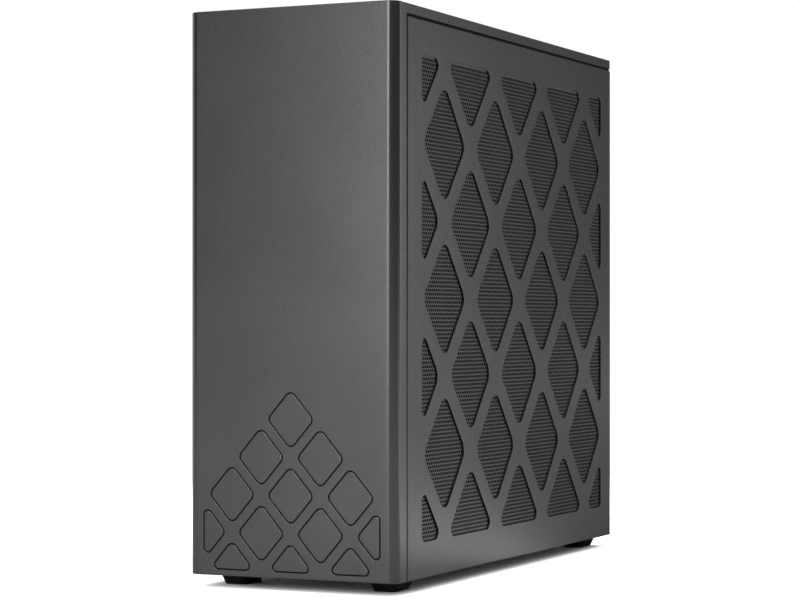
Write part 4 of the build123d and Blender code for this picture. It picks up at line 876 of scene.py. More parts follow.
# ---------------------------------------------------------------- perforated sheets
@dataclass
class PerforatedSheet:
    """A thin sheet with staggered round holes behind the windows of a cover.

    Each hole sits in a six-sided cell. The cells tile the sheet in level rows, so that
    neighbours share their corners, and the plain sheet fills what is left around them.
    """

    axes: Axes
    low: tuple[float, float]
    high: tuple[float, float]
    thickness: float
    windows: list[Array]
    pitch: float = 2.6 * MM
    hole_radius: float = 1.04 * MM
    hole_sides: int = 8
    reach: float = 0.9 * MM

    def centres(self) -> tuple[Array, Array, float]:
        """Centres of the holed cells and their row numbers.

        Rows lie half the root of three of a pitch apart, and every second row is moved along
        by half a pitch. A cell is holed where its centre is inside a window grown by reach.

        Returns:
            The centres, their rows and the exact pitch, which divides the sheet's width.
        """
        width = self.high[0] - self.low[0]
        pitch = width / round(width / self.pitch)
        rise = pitch * np.sqrt(3) / 2
        rows = np.arange(1, int((self.high[1] - self.low[1]) / rise))
        columns = np.arange(1, round(width / pitch) - 1)
        row, column = np.meshgrid(rows, columns, indexing="ij")
        u = self.low[0] + (column + 0.5 + 0.5 * (row % 2)) * pitch
        v = self.low[1] + row * rise
        points = np.stack([u.ravel(), v.ravel()], axis=1)
        holed = np.zeros(len(points), bool)
        for window in self.windows:
            normals = outward(window)
            away = ((points[:, None] - window[None]) * normals[None]).sum(axis=-1)
            holed |= away.max(axis=1) < self.reach
        return points[holed], row.ravel()[holed], pitch

    def bands(self, count: int) -> list[bpy.types.Mesh]:
        """Build the sheet in bands, one above the other, that meet along a row of cells.

        Args:
            count: Number of bands.

        Returns:
            The meshes, from the bottom up.
        """
        centres, rows, pitch = self.centres()
        radius = pitch / np.sqrt(3)
        shares = np.quantile(rows, np.linspace(0, 1, count + 1)[1:-1])
        splits = (2 * np.round(shares / 2)).astype(int)
        limits = np.concatenate([[0], splits, [rows.max() + 1]])
        borders = [self.border(None, radius, pitch, 0)]
        borders += [self.border(split, radius, pitch, 0) for split in splits]
        borders += [self.border(None, radius, pitch, 1)]
        parts = [(rows >= low) & (rows < high) for low, high in zip(limits, limits[1:])]
        return [
            self.band(centres[part], radius, lower, upper)
            for part, lower, upper in zip(parts, borders, borders[1:])
        ]

    def border(self, row: int | None, radius: float, pitch: float, end: int) -> Array:
        """Line between two bands: along the lower corners of a row's cells, or the sheet's end."""
        if row is None:
            level = (self.low, self.high)[end][1]
            return np.array([(self.low[0], level), (self.high[0], level)])
        count = round((self.high[0] - self.low[0]) / pitch)
        u = self.low[0] + np.arange(2 * count + 1) * pitch / 2
        v = self.low[1] + row * pitch * np.sqrt(3) / 2 - np.where(np.arange(len(u)) % 2, radius, radius / 2)
        return np.stack([u, v], axis=1)

    def band(self, centres: Array, radius: float, lower: Array, upper: Array) -> bpy.types.Mesh:
        """One band of the sheet.

        The corners of a cell lie at radius on six directions, and the corners of its hole at
        hole_radius on hole_sides directions. Each side of the cell is joined to the corners of
        the hole that lie nearest to it.
        """
        skin = Skin(self.axes)
        corner_angle = np.pi / 2 + np.arange(CELL_SIDES) * 2 * np.pi / CELL_SIDES
        corner = radius * np.stack([np.cos(corner_angle), np.sin(corner_angle)], axis=1)
        hole_angle = np.pi / 2 + np.arange(self.hole_sides) * 2 * np.pi / self.hole_sides
        hole = self.hole_radius * np.stack([np.cos(hole_angle), np.sin(hole_angle)], axis=1)
        ring = self.ring_faces()
        size = CELL_SIDES + self.hole_sides
        start = np.arange(len(centres))[:, None, None] * size
        cell = (centres[:, None] + np.concatenate([corner, hole])[None]).reshape(-1, 2)
        for height, rows in ((0.0, ring), (-self.thickness, ring[:, ::-1])):
            level = np.full((len(cell), 1), height)
            skin.add(np.hstack([cell, level]), (start + rows).reshape(-1, 3))
        self.hole_walls(skin, centres, hole)
        outline = np.concatenate([lower, upper[::-1]])
        points, edges = self.plain_edges(centres, corner, outline)
        skin.fill(points, edges, 0.0)
        skin.fill(points, edges, -self.thickness)
        skin.faces[-1] = skin.faces[-1][:, ::-1]
        skin.sweep(outline, np.zeros(2), np.array([0.0, -self.thickness]))
        return skin.mesh("sheet", turn_out=False)

    def ring_faces(self) -> Array:
        """Triangles between a cell's six corners and the corners of its hole."""
        outer_turn = np.arange(CELL_SIDES) / CELL_SIDES
        inner_turn = np.arange(self.hole_sides) / self.hole_sides
        order = np.argsort(np.concatenate([outer_turn + WELD, inner_turn]))
        outer = inner = 0
        rows = []
        for step in order:
            if step < CELL_SIDES:
                rows.append((step, (step + 1) % CELL_SIDES, CELL_SIDES + inner % self.hole_sides))
                outer = step + 1
            else:
                inner = step - CELL_SIDES
                ahead = (inner + 1) % self.hole_sides
                rows.append((outer % CELL_SIDES, CELL_SIDES + ahead, CELL_SIDES + inner))
                inner += 1
        return np.array(rows)

    def hole_walls(self, skin: Skin, centres: Array, hole: Array) -> None:
        """Walls of the holes, as quads between the hole's corners in front and behind."""
        sides = self.hole_sides
        points = (centres[:, None] + hole[None]).reshape(-1, 2)
        front = np.hstack([points, np.zeros((len(points), 1))])
        behind = np.hstack([points, np.full((len(points), 1), -self.thickness)])
        number = np.arange(sides)
        ahead = (number + 1) % sides
        total = len(points)
        quads = np.stack([number, ahead, ahead + total, number + total], axis=1)
        start = np.arange(len(centres))[:, None, None] * sides
        skin.add(np.concatenate([front, behind]), (start + quads).reshape(-1, 4))

    def plain_edges(self, centres: Array, corner: Array, outline: Array) -> tuple[Array, Array]:
        """Edges around the plain part of a band.

        They are the edges that occur once among all sides of the cells and of the band's own
        outline: a side that two cells share, or a cell and the outline, occurs twice.
        """
        cell = (centres[:, None] + corner[None]).reshape(-1, 2)
        points = np.concatenate([cell, outline])
        start = np.arange(len(centres))[:, None, None] * CELL_SIDES
        sides = (start + loop_edges([CELL_SIDES])[None]).reshape(-1, 2)
        edges = np.concatenate([sides, len(cell) + loop_edges([len(outline)])])
        keys = np.round(points / WELD).astype(np.int64)
        _, first, number = np.unique(keys, axis=0, return_index=True, return_inverse=True)
        edges = np.sort(number.reshape(-1)[edges], axis=1)
        edges, times = np.unique(edges, axis=0, return_counts=True)
        edges = edges[times == 1]
        used, edges = np.unique(edges, return_inverse=True)
        return points[first][used], edges.reshape(-1, 2)


# ---------------------------------------------------------------- outer case
@dataclass
class Case:
    """The painted covers of the case, with their windows and perforated sheets."""

    fold_radius: float = 5.5 * MM
    edge_radius: float = 0.6 * MM
    bezel_wall: float = 2.0 * MM
    cover_wall: float = 1.5 * MM
    panel_wall: float = 1.0 * MM
    panel_edge_radius: float = 0.6 * MM
    panel_rear_radius: float = 2.5 * MM
    mesh_lap: float = 2.0 * MM
    socket_gap: float = 0.3 * MM
    sheet_bands: int = 3
    sheet_thickness: float = 0.5 * MM
    screen_depth: tuple[float, float] = (-0.78 * MM, -0.58 * MM)
    screen_corner: float = 3.0 * MM
    screen_edge: float = 0.05 * MM
    side_lattice: Lattice = Lattice((37.0 * MM, 43.5 * MM), 11.4 * MM, 7.5 * MM, 3.6 * MM)
    top_lattice: Lattice = Lattice((48.0 * MM, 46.5 * MM), 11.4 * MM, 7.5 * MM, 3.6 * MM)
    engraved: Lattice = Lattice((18.4 * MM, 21.1 * MM), 5.3 * MM, 3.8 * MM, 2.8 * MM)
    engraved_rows: int = 5
    engraved_apex: float = 88.0 * MM
    engraved_side_margin: float = 9.5 * MM
    engraved_bottom_margin: float = 3.4 * MM
    fill_height: float = -0.03 * MM
    fill_gap: float = 0.01 * MM
    fill_edge: float = 0.03 * MM
    front_edge_radius: float = 20 * WELD
    round_holes: tuple[tuple[str, float], ...] = (("power_button", 5.5 * MM), ("io_audio_jack", 3.8 * MM))
    usb_a_width: float = 13.1 * MM
    tall_socket: float = 5.0 * MM
    socket_corner: float = 0.8 * MM
    hole_steps: int = 48
    arc_steps: int = 6

    def engraving(self, low: Array, high: Array) -> list[Array]:
        """Outlines of a pyramid of diamonds at the foot of the front."""
        box = np.array(
            [
                (low[0] + self.engraved_side_margin, low[2] + self.engraved_bottom_margin),
                (high[0] - self.engraved_side_margin, high[2]),
            ]
        )
        across, up = self.engraved.half_pitch
        cells = [
            self.engraved.cell((column * across, low[2] + self.engraved_apex - row * up), box)
            for row in range(self.engraved_rows)
            for column in range(-row, row + 1, 2)
        ]
        return [cell for cell in cells if cell is not None]

    def front(self) -> None:
        """Front cover: a tray with rounded upright corners and engraved diamonds."""
        low, high = node_box("front_bezel")
        cover = FoldedCover(
            facing("-Y", (0, low[1], 0)),
            (low[0], low[2]),
            (high[0], high[2]),
            high[1] - low[1],
            self.bezel_wall,
            (self.fold_radius, self.fold_radius),
            (self.edge_radius, self.edge_radius),
            grooves=self.engraving(low, high),
        )
        made = piece("front_bezel_skin", cover.mesh("front_bezel_skin"), "front_bezel")
        even_normals(made)
        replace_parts(made, "front_bezel")
        # A near-black fill lies in each groove: partly the lines' own dark tone, partly painted shade of the
        # groove.
        line_fill = Skin(cover.axes)
        for groove in cover.grooves:
            normals = outward(groove)
            rim = groove - normals * self.fill_gap
            inner = groove - normals * (cover.groove_width - self.fill_gap)
            floor = self.fill_gap - cover.groove_depth
            line_fill.plate([rim, inner[::-1]], floor, self.fill_height, self.fill_edge)
        piece("front_line_enamel", line_fill.mesh("front_line_enamel"), "front_bezel", DARK_LINE_AND_SHADE)

    def field_behind(self, node: str, axes: tuple[int, int]) -> Array:
        """Field of the windows, from the sheet behind them less its lap, as two rows."""
        return node_box(node)[:, axes] + np.array([[self.mesh_lap], [-self.mesh_lap]])

    def sides(self) -> None:
        """Side panels with diamond windows, the perforated sheets behind them, and a black sheet of painted
        shade behind those.
        """
        for side, direction, sign in (("right", "+X", 1), ("left", "-X", -1)):
            low, high = node_box(f"{side}_panel")
            outer = high[0] if sign > 0 else low[0]
            box = self.field_behind(f"{side}_mesh", (1, 2))
            u = sorted((sign * low[1], sign * high[1]))
            field_box = np.array([[sign * y, z] for y, z in box])
            field_box = np.sort(field_box, axis=0)
            windows = self.side_lattice.cells(field_box)
            radii = (self.panel_edge_radius, self.panel_rear_radius)[::sign]
            cover = FoldedCover(
                facing(direction, (outer, 0, 0)),
                (u[0], low[2]),
                (u[1], high[2]),
                high[0] - low[0],
                self.panel_wall,
                radii,
                (self.panel_edge_radius, self.panel_edge_radius),
                windows=windows,
            )
            made = piece(f"{side}_panel_skin", cover.mesh(f"{side}_panel_skin"), f"{side}_panel")
            even_normals(made)
            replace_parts(made, f"{side}_panel")
            inside = (outer - sign * self.panel_wall, 0, 0)
            mesh_low, mesh_high = node_box(f"{side}_mesh")
            sheet_u = sorted((sign * mesh_low[1], sign * mesh_high[1]))
            sheet = PerforatedSheet(
                facing(direction, inside),
                (sheet_u[0], mesh_low[2]),
                (sheet_u[1], mesh_high[2]),
                self.sheet_thickness,
                windows,
            )
            self.hang(sheet, f"{side}_mesh", self.sheet_bands)
            # Painted shade: a black sheet behind the perforated sheet, so that its holes show black as the
            # shaded inside of the case would.
            outline = rectangle((sheet_u[0], mesh_low[2]), (sheet_u[1], mesh_high[2]))
            screen = Skin(facing(direction, inside))
            outline = rounded_loop(outline, self.screen_corner, self.arc_steps)
            screen.plate([outline], *self.screen_depth, self.screen_edge)
            piece(f"{side}_hole_shade_sheet", screen.mesh(f"{side}_hole_shade_sheet"), f"{side}_mesh", HOLE_SHADE_SHEET)

    def hang(self, sheet: PerforatedSheet, node: str, count: int) -> None:
        """Put a perforated sheet in place of its node, in bands."""
        for number, mesh in enumerate(sheet.bands(count)):
            name = f"{node}_band_{number + 1}"
            mesh.name = name
            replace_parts(piece(name, mesh, node), node)

    def top(self) -> None:
        """Top cover with its windows, the holes for the sockets, and the sheet underneath."""
        low, high = node_box("top_cover")
        box = self.field_behind("top_mesh", (0, 1))
        windows = self.top_lattice.cells(box)
        gap = self.socket_gap
        holes = [self.socket_hole(box_rows, gap) for box_rows in self.socket_boxes()]
        for node, radius in self.round_holes:
            centre = node_box(node).mean(axis=0)[:2]
            holes.append(circle(tuple(centre), radius + gap, self.hole_steps))
        cover = FoldedCover(
            facing("+Z", (0, 0, high[2])),
            (low[0], low[1]),
            (high[0], high[1]),
            high[2] - low[2],
            self.cover_wall,
            (self.edge_radius, self.edge_radius),
            (self.front_edge_radius, self.edge_radius),
            end_walls=(False, True),
            windows=windows + holes,
        )
        made = piece("top_cover_skin", cover.mesh("top_cover_skin"), "top_cover")
        even_normals(made)
        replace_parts(made, "top_cover")
        mesh_low, mesh_high = node_box("top_mesh")
        sheet = PerforatedSheet(
            facing("+Z", (0, 0, mesh_high[2])),
            tuple(mesh_low[:2]),
            tuple(mesh_high[:2]),
            self.sheet_thickness,
            windows,
        )
        self.hang(sheet, "top_mesh", 1)

    def socket_boxes(self) -> list[Array]:
        """Boxes in plan of the USB sockets under the top cover."""
        low, high = node_box("io_usb_sockets")
        width = self.usb_a_width
        c_low, c_high = node_box("io_usb_c_socket")
        return [
            np.array([low[:2], (low[0] + width, high[1])]),
            np.array([(high[0] - width, low[1]), high[:2]]),
            np.array([c_low[:2], c_high[:2]]),
        ]

    def socket_hole(self, box: Array, gap: float) -> Array:
        """Rounded outline of a hole around a socket."""
        size = np.ptp(box, axis=0) + 2 * gap
        corners = rectangle(tuple(box[0] - gap), tuple(box[1] + gap))
        radius = self.socket_corner if size[1] > self.tall_socket else size[1] / 2
        return rounded_loop(corners, radius, self.arc_steps)

    def build(self) -> None:
        """Build all covers."""
        self.front()
        self.sides()
        self.top()


# ---------------------------------------------------------------- feet
@dataclass
class Feet:
    """Rubber feet: a rounded block that flares towards the case, with a recess for its screw."""

    bottom: tuple[float, float] = (13.3 * MM, 20.0 * MM)
    flare: float = 4.2 * MM
    screw_head: float = 2.8 * MM
    corner_radius: float = 2.5 * MM
    bottom_edge: float = 0.7 * MM
    recess_radius: float = 3.1 * MM
    recess_depth: float = 3.0 * MM
    bore_radius: float = 1.8 * MM
    corner_steps: int = 8
    bore_steps: int = 32

    def outline(self, grow: float) -> Array:
        """Rounded rectangle of the bottom, grown on all sides."""
        half = np.array(self.bottom) / 2 + grow
        corners = rectangle(tuple(-half), tuple(half))
        return rounded_loop(corners, self.corner_radius + grow, self.corner_steps)

    def foot(self, skin: Skin, centre: Array, height: float) -> None:
        """One foot: outlines stacked from the floor up, with their growth in step with the height.

        Args:
            skin: Skin that takes the foot.
            centre: Centre of the foot in plan.
            height: Height of its top.
        """
        inset, rise = quarter(self.bottom_edge, 4)
        level = np.append(rise, height)
        grow = self.flare * level / height - np.append(inset, 0.0)
        loops = np.stack([self.outline(amount) for amount in grow]) + centre
        wall = np.concatenate([loops, np.broadcast_to(level[:, None, None], loops.shape[:2] + (1,))], axis=-1)
        skin.grid(wall, wrap=(False, True))
        recess = circle(tuple(centre), self.recess_radius, self.bore_steps)[::-1]
        bore = circle(tuple(centre), self.bore_radius, self.bore_steps)[::-1]
        skin.flat([loops[0], recess], 0.0)
        skin.flat([loops[-1], bore], height)
        skin.flat([recess, bore], self.recess_depth)
        skin.sweep(recess, np.zeros(2), np.array([0.0, self.recess_depth]))
        skin.sweep(bore, np.zeros(2), np.array([self.recess_depth, height]))

    def build(self) -> None:
        """Build the four feet around their screws."""
        height = node_box("feet")[1, 2]
        low, high = node_box("foot_screws")
        skin = Skin()
        for x in (low[0] + self.screw_head, high[0] - self.screw_head):
            for y in (low[1] + self.screw_head, high[1] - self.screw_head):
                self.foot(skin, np.array([x, y]), height)
        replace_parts(piece("feet_rubber", skin.mesh("feet_rubber"), "feet"), "feet")


# ---------------------------------------------------------------- fans
@dataclass
class Fan:
    """Axial fan: a square frame with a round bore, and a rotor with curved blades."""

    frame_node: str
    rotor_node: str
    direction: str
    size: float
    thickness: float = 15.0 * MM
    wall: float = 2.5 * MM
    corner_radius: float = 4.0 * MM
    arm: float = 5.0 * MM
    arm_thickness: float = 2.5 * MM
    motor_radius: float = 17.0 * MM
    hub_radius: float = 16.0 * MM
    tip_gap: float = 1.4 * MM
    face_gap: float = 0.6 * MM
    screw_radius: float = 2.2 * MM
    screw_inset: float = 4.9 * MM
    edge: float = 0.4 * MM
    blades: int = 9
    blade_thickness: float = 1.4 * MM
    blade_sweep: float = 0.5
    root_depth: float = 3.0 * MM
    root_pitch: float = 40.0
    tip_pitch: float = 24.0
    camber: float = 0.16
    most_height: float = 0.94
    most_chord: float = 0.62
    root_fade: float = 12.0
    tip_fade: int = 6
    hub_dish: float = 0.8
    span_steps: int = 15
    chord_steps: int = 13
    corner_steps: int = 8
    screw_steps: int = 24
    hub_steps: int = 64
    bore_steps: int = 96

    def axes(self) -> Axes:
        """Working frame on the fan's axis, at the motor plate's outer face."""
        low, high = node_box(self.frame_node)
        middle = (low + high) / 2
        back = {"+Z": (middle[0], middle[1], low[2]), "+X": (low[0], middle[1], middle[2])}
        return facing(self.direction, back[self.direction])

    def frame_mesh(self) -> bpy.types.Mesh:
        """Frame: a plate with a bore and screw holes, two crossed arms and a motor plate."""
        skin = Skin(self.axes())
        half = self.size / 2
        square = rounded_loop(rectangle((-half, -half), (half, half)), self.corner_radius, self.corner_steps)
        place = half - self.screw_inset
        corners = rectangle((-place, -place), (place, place))
        holes = [circle(tuple(corner), self.screw_radius, self.screw_steps)[::-1] for corner in corners]
        bore = circle((0, 0), half - self.wall, self.bore_steps)[::-1]
        skin.plate([square, bore, *holes], 0.0, self.thickness, self.edge)
        reach = half - self.wall / 2
        for angle in np.radians([0, 90]):
            turn = np.array([[np.cos(angle), np.sin(angle)], [-np.sin(angle), np.cos(angle)]])
            bar = rectangle((-reach, -self.arm / 2), (reach, self.arm / 2)) @ turn
            skin.plate([bar], self.edge, self.arm_thickness, self.edge / 2)
        motor = np.array([(0, 0), (self.motor_radius - self.edge, 0), (self.motor_radius, self.edge)])
        rim = np.array([(self.motor_radius, self.arm_thickness + self.edge / 2), (0, self.arm_thickness)])
        skin.turned(np.concatenate([motor, rim]))
        return skin.mesh(f"{self.frame_node}_moulding")

    def blade(self, angle: float) -> Array:
        """One blade as a grid of span by section.

        The section is an aerofoil: its thickness goes with the root of the chord share times
        what is left of it, and its camber with the chord share times what is left. The pitch
        falls from root to tip, and the blade leans forwards with the square of the span. The
        thickness runs out at the tip and inside the hub, which closes the surface.

        Args:
            angle: Direction of the blade's root in radians.

        Returns:
            The grid of points, closed along the section.
        """
        low = self.arm_thickness + self.face_gap
        high = self.thickness - self.face_gap
        span = np.linspace(0, 1, self.span_steps)[:, None]
        share = (1 - np.cos(np.linspace(0, np.pi, self.chord_steps))) / 2
        chord = np.concatenate([share, share[-2:0:-1]])[None]
        face = np.concatenate([np.ones(len(share)), -np.ones(len(share) - 2)])[None]
        root = self.hub_radius - self.root_depth
        tip = self.size / 2 - self.wall - self.tip_gap
        radius = root + (tip - root) * span
        pitch = np.radians(self.root_pitch + (self.tip_pitch - self.root_pitch) * span)
        length = np.minimum((high - low) * self.most_height / np.sin(pitch), radius * self.most_chord)
        ends = np.sqrt((1 - span**self.tip_fade) * np.clip(self.root_fade * span, 0, 1))
        thick = self.blade_thickness * np.sqrt(chord * (1 - chord)) * ends
        camber = self.camber * length * chord * (1 - chord)
        off = camber + face * thick
        along = (chord - 0.5) * length
        turn = (along * np.cos(pitch) - off * np.sin(pitch)) / radius
        height = (low + high) / 2 + along * np.sin(pitch) + off * np.cos(pitch)
        direction = angle + turn + self.blade_sweep * span**2
        across = radius * np.cos(direction)
        up = radius * np.sin(direction)
        return np.stack([across, up, np.clip(height, low, high)], axis=-1)

    def rotor_mesh(self) -> bpy.types.Mesh:
        """Rotor: a hub with a rounded cap and a ring of blades."""
        skin = Skin(self.axes())
        low = self.arm_thickness + self.face_gap
        high = self.thickness - self.face_gap
        inset, drop = quarter(3 * self.edge, 4)
        cap = np.stack([self.hub_radius - inset, high - drop], axis=1)
        dish = np.array([(0, high - self.edge), (self.hub_radius * self.hub_dish, high - self.edge)])
        foot = np.array([(self.hub_radius, low), (0, low)])
        skin.turned(np.concatenate([dish, cap, foot]), steps=self.hub_steps)
        for angle in np.linspace(0, 2 * np.pi, self.blades, endpoint=False):
            blade = self.blade(angle)
            skin.grid(blade, wrap=(False, True))
        return skin.mesh(f"{self.rotor_node}_blades")

    def build(self) -> None:
        """Put the frame and the rotor in place of their nodes."""
        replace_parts(piece(f"{self.frame_node}_moulding", self.frame_mesh(), self.frame_node), self.frame_node)
        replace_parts(piece(f"{self.rotor_node}_blades", self.rotor_mesh(), self.rotor_node), self.rotor_node)


# ---------------------------------------------------------------- shade strips in the gaps
@dataclass
class GapShadeStrips:
    """Black strips on the chassis, in the gaps in front of and over both side panels: painted shade, a black
    sheet that stands for the shade inside the gaps.
    """

    recess: float = 0.7 * MM
    reach: float = 2.5 * MM
    clearance: float = 0.05 * MM
    edge: float = 0.1 * MM

    def build(self) -> None:
        """Lay both strips on each side between the panel, the front cover and the top cover."""
        bezel, cover = node_box("front_bezel"), node_box("top_cover")
        for side, sign in (("right", 1), ("left", -1)):
            panel = node_box(f"{side}_panel")
            outer = bezel[1, 0]
            x = sorted((sign * (outer - self.recess), sign * (outer - self.reach)))
            corner_y = panel[0, 1] - self.clearance
            upright = rectangle((x[0], bezel[1, 1]), (x[1], corner_y))
            level = rectangle((x[0], corner_y), (x[1], cover[1, 1]))
            skin = Skin()
            skin.plate([upright], panel[0, 2], cover[0, 2], self.edge)
            skin.plate([level], panel[1, 2] + self.clearance, cover[0, 2], self.edge)
            # Painted shade: each strip is black so that its gap reads dark.
            piece(f"{side}_gap_shade_strip", skin.mesh(f"{side}_gap_shade_strip"), "front_plate", GAP_SHADE_BLACK)


# ---------------------------------------------------------------- controls and fasteners
@dataclass
class PowerButton:
    """Round button with a dished top, a collar under the cover and a stem."""

    cap_radius: float = 5.5 * MM
    stem_radius: float = 2.75 * MM
    edge: float = 0.5 * MM
    dish: float = 0.35 * MM
    collar_height: float = 1.0 * MM
    collar_top: float = 321.25 * MM
    edge_steps: int = 5
    dish_steps: int = 8
    round_steps: int = 72

    def build(self) -> None:
        """Turn the button about its own axis."""
        low, high = node_box("power_button")
        centre = (low + high) / 2
        collar = (high[0] - low[0]) / 2
        inset, drop = quarter(self.edge, self.edge_steps)
        share = np.linspace(1, 0, self.dish_steps)
        flat = self.cap_radius - self.edge
        dish = np.stack([flat * share, high[2] - self.dish * (1 - share**2)], axis=1)
        rim = np.stack([self.cap_radius - inset, high[2] - drop], axis=1)[::-1]
        foot = self.collar_top - self.collar_height
        lower = [(0, low[2]), (self.stem_radius, low[2]), (self.stem_radius, foot), (collar, foot)]
        neck = [(collar, self.collar_top), (self.cap_radius, self.collar_top)]
        skin = Skin()
        skin.turned(np.concatenate([lower, neck, rim, dish]), tuple(centre[:2]), self.round_steps)
        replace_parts(piece("power_button_cap", skin.mesh("power_button_cap"), "power_button"), "power_button")


@dataclass
class ThumbScrews:
    """Screws of the rear panel, with knurled knobs and recessed faces."""

    knob_radius: float = 4.5 * MM
    knob_height: float = 4.0 * MM
    recess_share: float = 0.55
    shank_radius: float = 1.6 * MM
    shank_length: float = 2.4 * MM
    knurled_share: float = 0.4
    edge: float = 0.5 * MM
    knurl: float = 0.35 * MM
    ridges: int = 30
    steps_per_ridge: int = 4

    def knob(self, skin: Skin, centre: tuple[float, float], face: float) -> None:
        """One knob: a turned profile whose wall follows a wave around the axis.

        Args:
            skin: Skin whose w axis points away from the panel.
            centre: Centre of the knob in the working frame.
            face: Height of its outer face.
        """
        inset, drop = quarter(self.edge, 4)
        foot = face - self.knob_height
        wall = self.knob_radius - inset
        recess = [(0, face - self.edge), (self.knob_radius * self.recess_share, face - self.edge)]
        upper = np.stack([wall, face - drop], axis=1)
        lower = np.stack([wall, foot + drop], axis=1)[::-1]
        end = foot - self.shank_length
        shank = [(self.shank_radius, foot), (self.shank_radius, end), (0, end)]
        radius, height = np.concatenate([recess, upper, lower, shank]).T
        angle = np.linspace(0, 2 * np.pi, self.ridges * self.steps_per_ridge, endpoint=False)
        wave = self.knurl * (1 - np.cos(self.ridges * angle)) / 2
        outer = (radius > self.knob_radius - self.knurled_share * self.edge)[:, None]
        reach = radius[:, None] - np.where(outer, wave[None], 0)
        u = centre[0] + reach * np.cos(angle)
        v = centre[1] + reach * np.sin(angle)
        level = np.broadcast_to(height[:, None], u.shape)
        skin.grid(np.stack([u, v, level], axis=-1), wrap=(False, True))

    def build(self) -> None:
        """Build both screws at the ends of their node."""
        low, high = node_box("thumb_screws")
        skin = Skin(facing("+Y", (0, 0, 0)))
        middle = (low[2] + high[2]) / 2
        for x in (low[0] + self.knob_radius, high[0] - self.knob_radius):
            self.knob(skin, (-x, middle), high[1])
        made = piece("thumb_screw_knobs", skin.mesh("thumb_screw_knobs"), "thumb_screws")
        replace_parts(made, "thumb_screws")


@dataclass
class FanGuard:
    """Wire guard of the power supply: round rings on crossed bars."""

    wire: float = 0.8 * MM
    bar_width: float = 1.6 * MM
    boss_radius: float = 8.5 * MM
    pitch: float = 9.0 * MM
    smallest: float = 17.0 * MM
    section_steps: int = 10
    bar_span: tuple[float, float] = (0.2, 1.6)
    bar_edge: float = 0.2 * MM
    boss_edge: float = 0.3 * MM
    ring_steps: int = 96
    boss_steps: int = 48

    def build(self) -> None:
        """Build the rings as tubes with an oval section, and the bars and boss as plates."""
        low, high = node_box("psu_fan_guard")
        middle = (low + high) / 2
        skin = Skin(facing("+X", (low[0], middle[1], middle[2])))
        half = (high[0] - low[0]) / 2
        reach = (high[1] - low[1]) / 2
        turn = np.linspace(0, 2 * np.pi, self.section_steps, endpoint=False)
        section = np.stack([self.wire * np.cos(turn), half * np.sin(turn)], axis=1)
        for radius in np.arange(reach - self.wire, self.smallest, -self.pitch):
            ring = section + np.array([radius, half])
            skin.turned(np.concatenate([ring, ring[:1]]), steps=self.ring_steps)
        inner = reach - self.wire
        for size in ((inner, self.bar_width / 2), (self.bar_width / 2, inner)):
            bottom, top = (share * half for share in self.bar_span)
            skin.plate([rectangle((-size[0], -size[1]), size)], bottom, top, self.bar_edge)
        boss = circle((0, 0), self.boss_radius, self.boss_steps)
        skin.plate([boss], 0.0, 2 * half, self.boss_edge)
        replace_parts(piece("psu_guard_rings", skin.mesh("psu_guard_rings"), "psu_fan_guard"), "psu_fan_guard")


# ---------------------------------------------------------------- cooling of the compute card
@dataclass
class BlowerWheel:
    """Radial blower: a back plate, a hub and many thin blades under a ring."""

    blades: int = 41
    blade_thickness: float = 0.7 * MM
    inner_radius: float = 23.5 * MM
    hub_radius: float = 13.0 * MM
    plate_thickness: float = 1.2 * MM
    ring_width: float = 3.0 * MM
    lean: float = 0.3
    edge: float = 0.12 * MM
    hub_edge: float = 1.5 * MM
    hub_edge_steps: int = 5
    end_thinning: float = 0.5
    thinning_power: int = 6
    blade_steps: int = 7
    round_steps: int = 96
    hub_steps: int = 64

    def blade(self, angle: float, radius: float) -> Array:
        """Outline of one blade: a band around an arc that leans back with the radius squared."""
        share = np.linspace(0, 1, self.blade_steps)
        reach = self.inner_radius + (radius - self.inner_radius) * share
        turn = angle - self.lean * share**2
        middle = np.stack([reach * np.cos(turn), reach * np.sin(turn)], axis=1)
        along = np.gradient(middle, axis=0)
        left = np.stack([-along[:, 1], along[:, 0]], axis=1) / np.linalg.norm(along, axis=1)[:, None]
        thinning = (2 * share - 1) ** self.thinning_power * self.end_thinning
        half = self.blade_thickness / 2 * np.sqrt(1 - thinning)[:, None]
        return np.concatenate([middle - left * half, (middle + left * half)[::-1]])

    def build(self) -> None:
        """Build the wheel about its axis along X, with its back plate towards the motor."""
        low, high = node_box("blower_rotor")
        middle = (low + high) / 2
        skin = Skin(facing("-X", (high[0], middle[1], middle[2])))
        radius = (high[1] - low[1]) / 2
        depth = high[0] - low[0]
        plate = circle((0, 0), radius - self.edge, self.round_steps)
        skin.plate([plate], 0.0, self.plate_thickness, self.edge)
        inset, drop = quarter(self.hub_edge, self.hub_edge_steps)
        cap = np.stack([self.hub_radius - inset, depth - drop], axis=1)
        foot = np.array([(self.hub_radius, self.edge), (0, self.edge)])
        skin.turned(np.concatenate([[(0, depth)], cap, foot]), steps=self.hub_steps)
        outline = radius - 2 * self.edge
        inner = circle((0, 0), outline - self.ring_width, self.round_steps)[::-1]
        ring = [circle((0, 0), outline, self.round_steps), inner]
        skin.plate(ring, depth - self.plate_thickness, depth, self.edge)
        for angle in np.linspace(0, 2 * np.pi, self.blades, endpoint=False):
            blade = self.blade(angle, outline - self.edge)
            skin.plate([blade], self.edge, depth - self.edge, self.edge, 1)
        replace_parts(piece("blower_wheel", skin.mesh("blower_wheel"), "blower_rotor"), "blower_rotor")


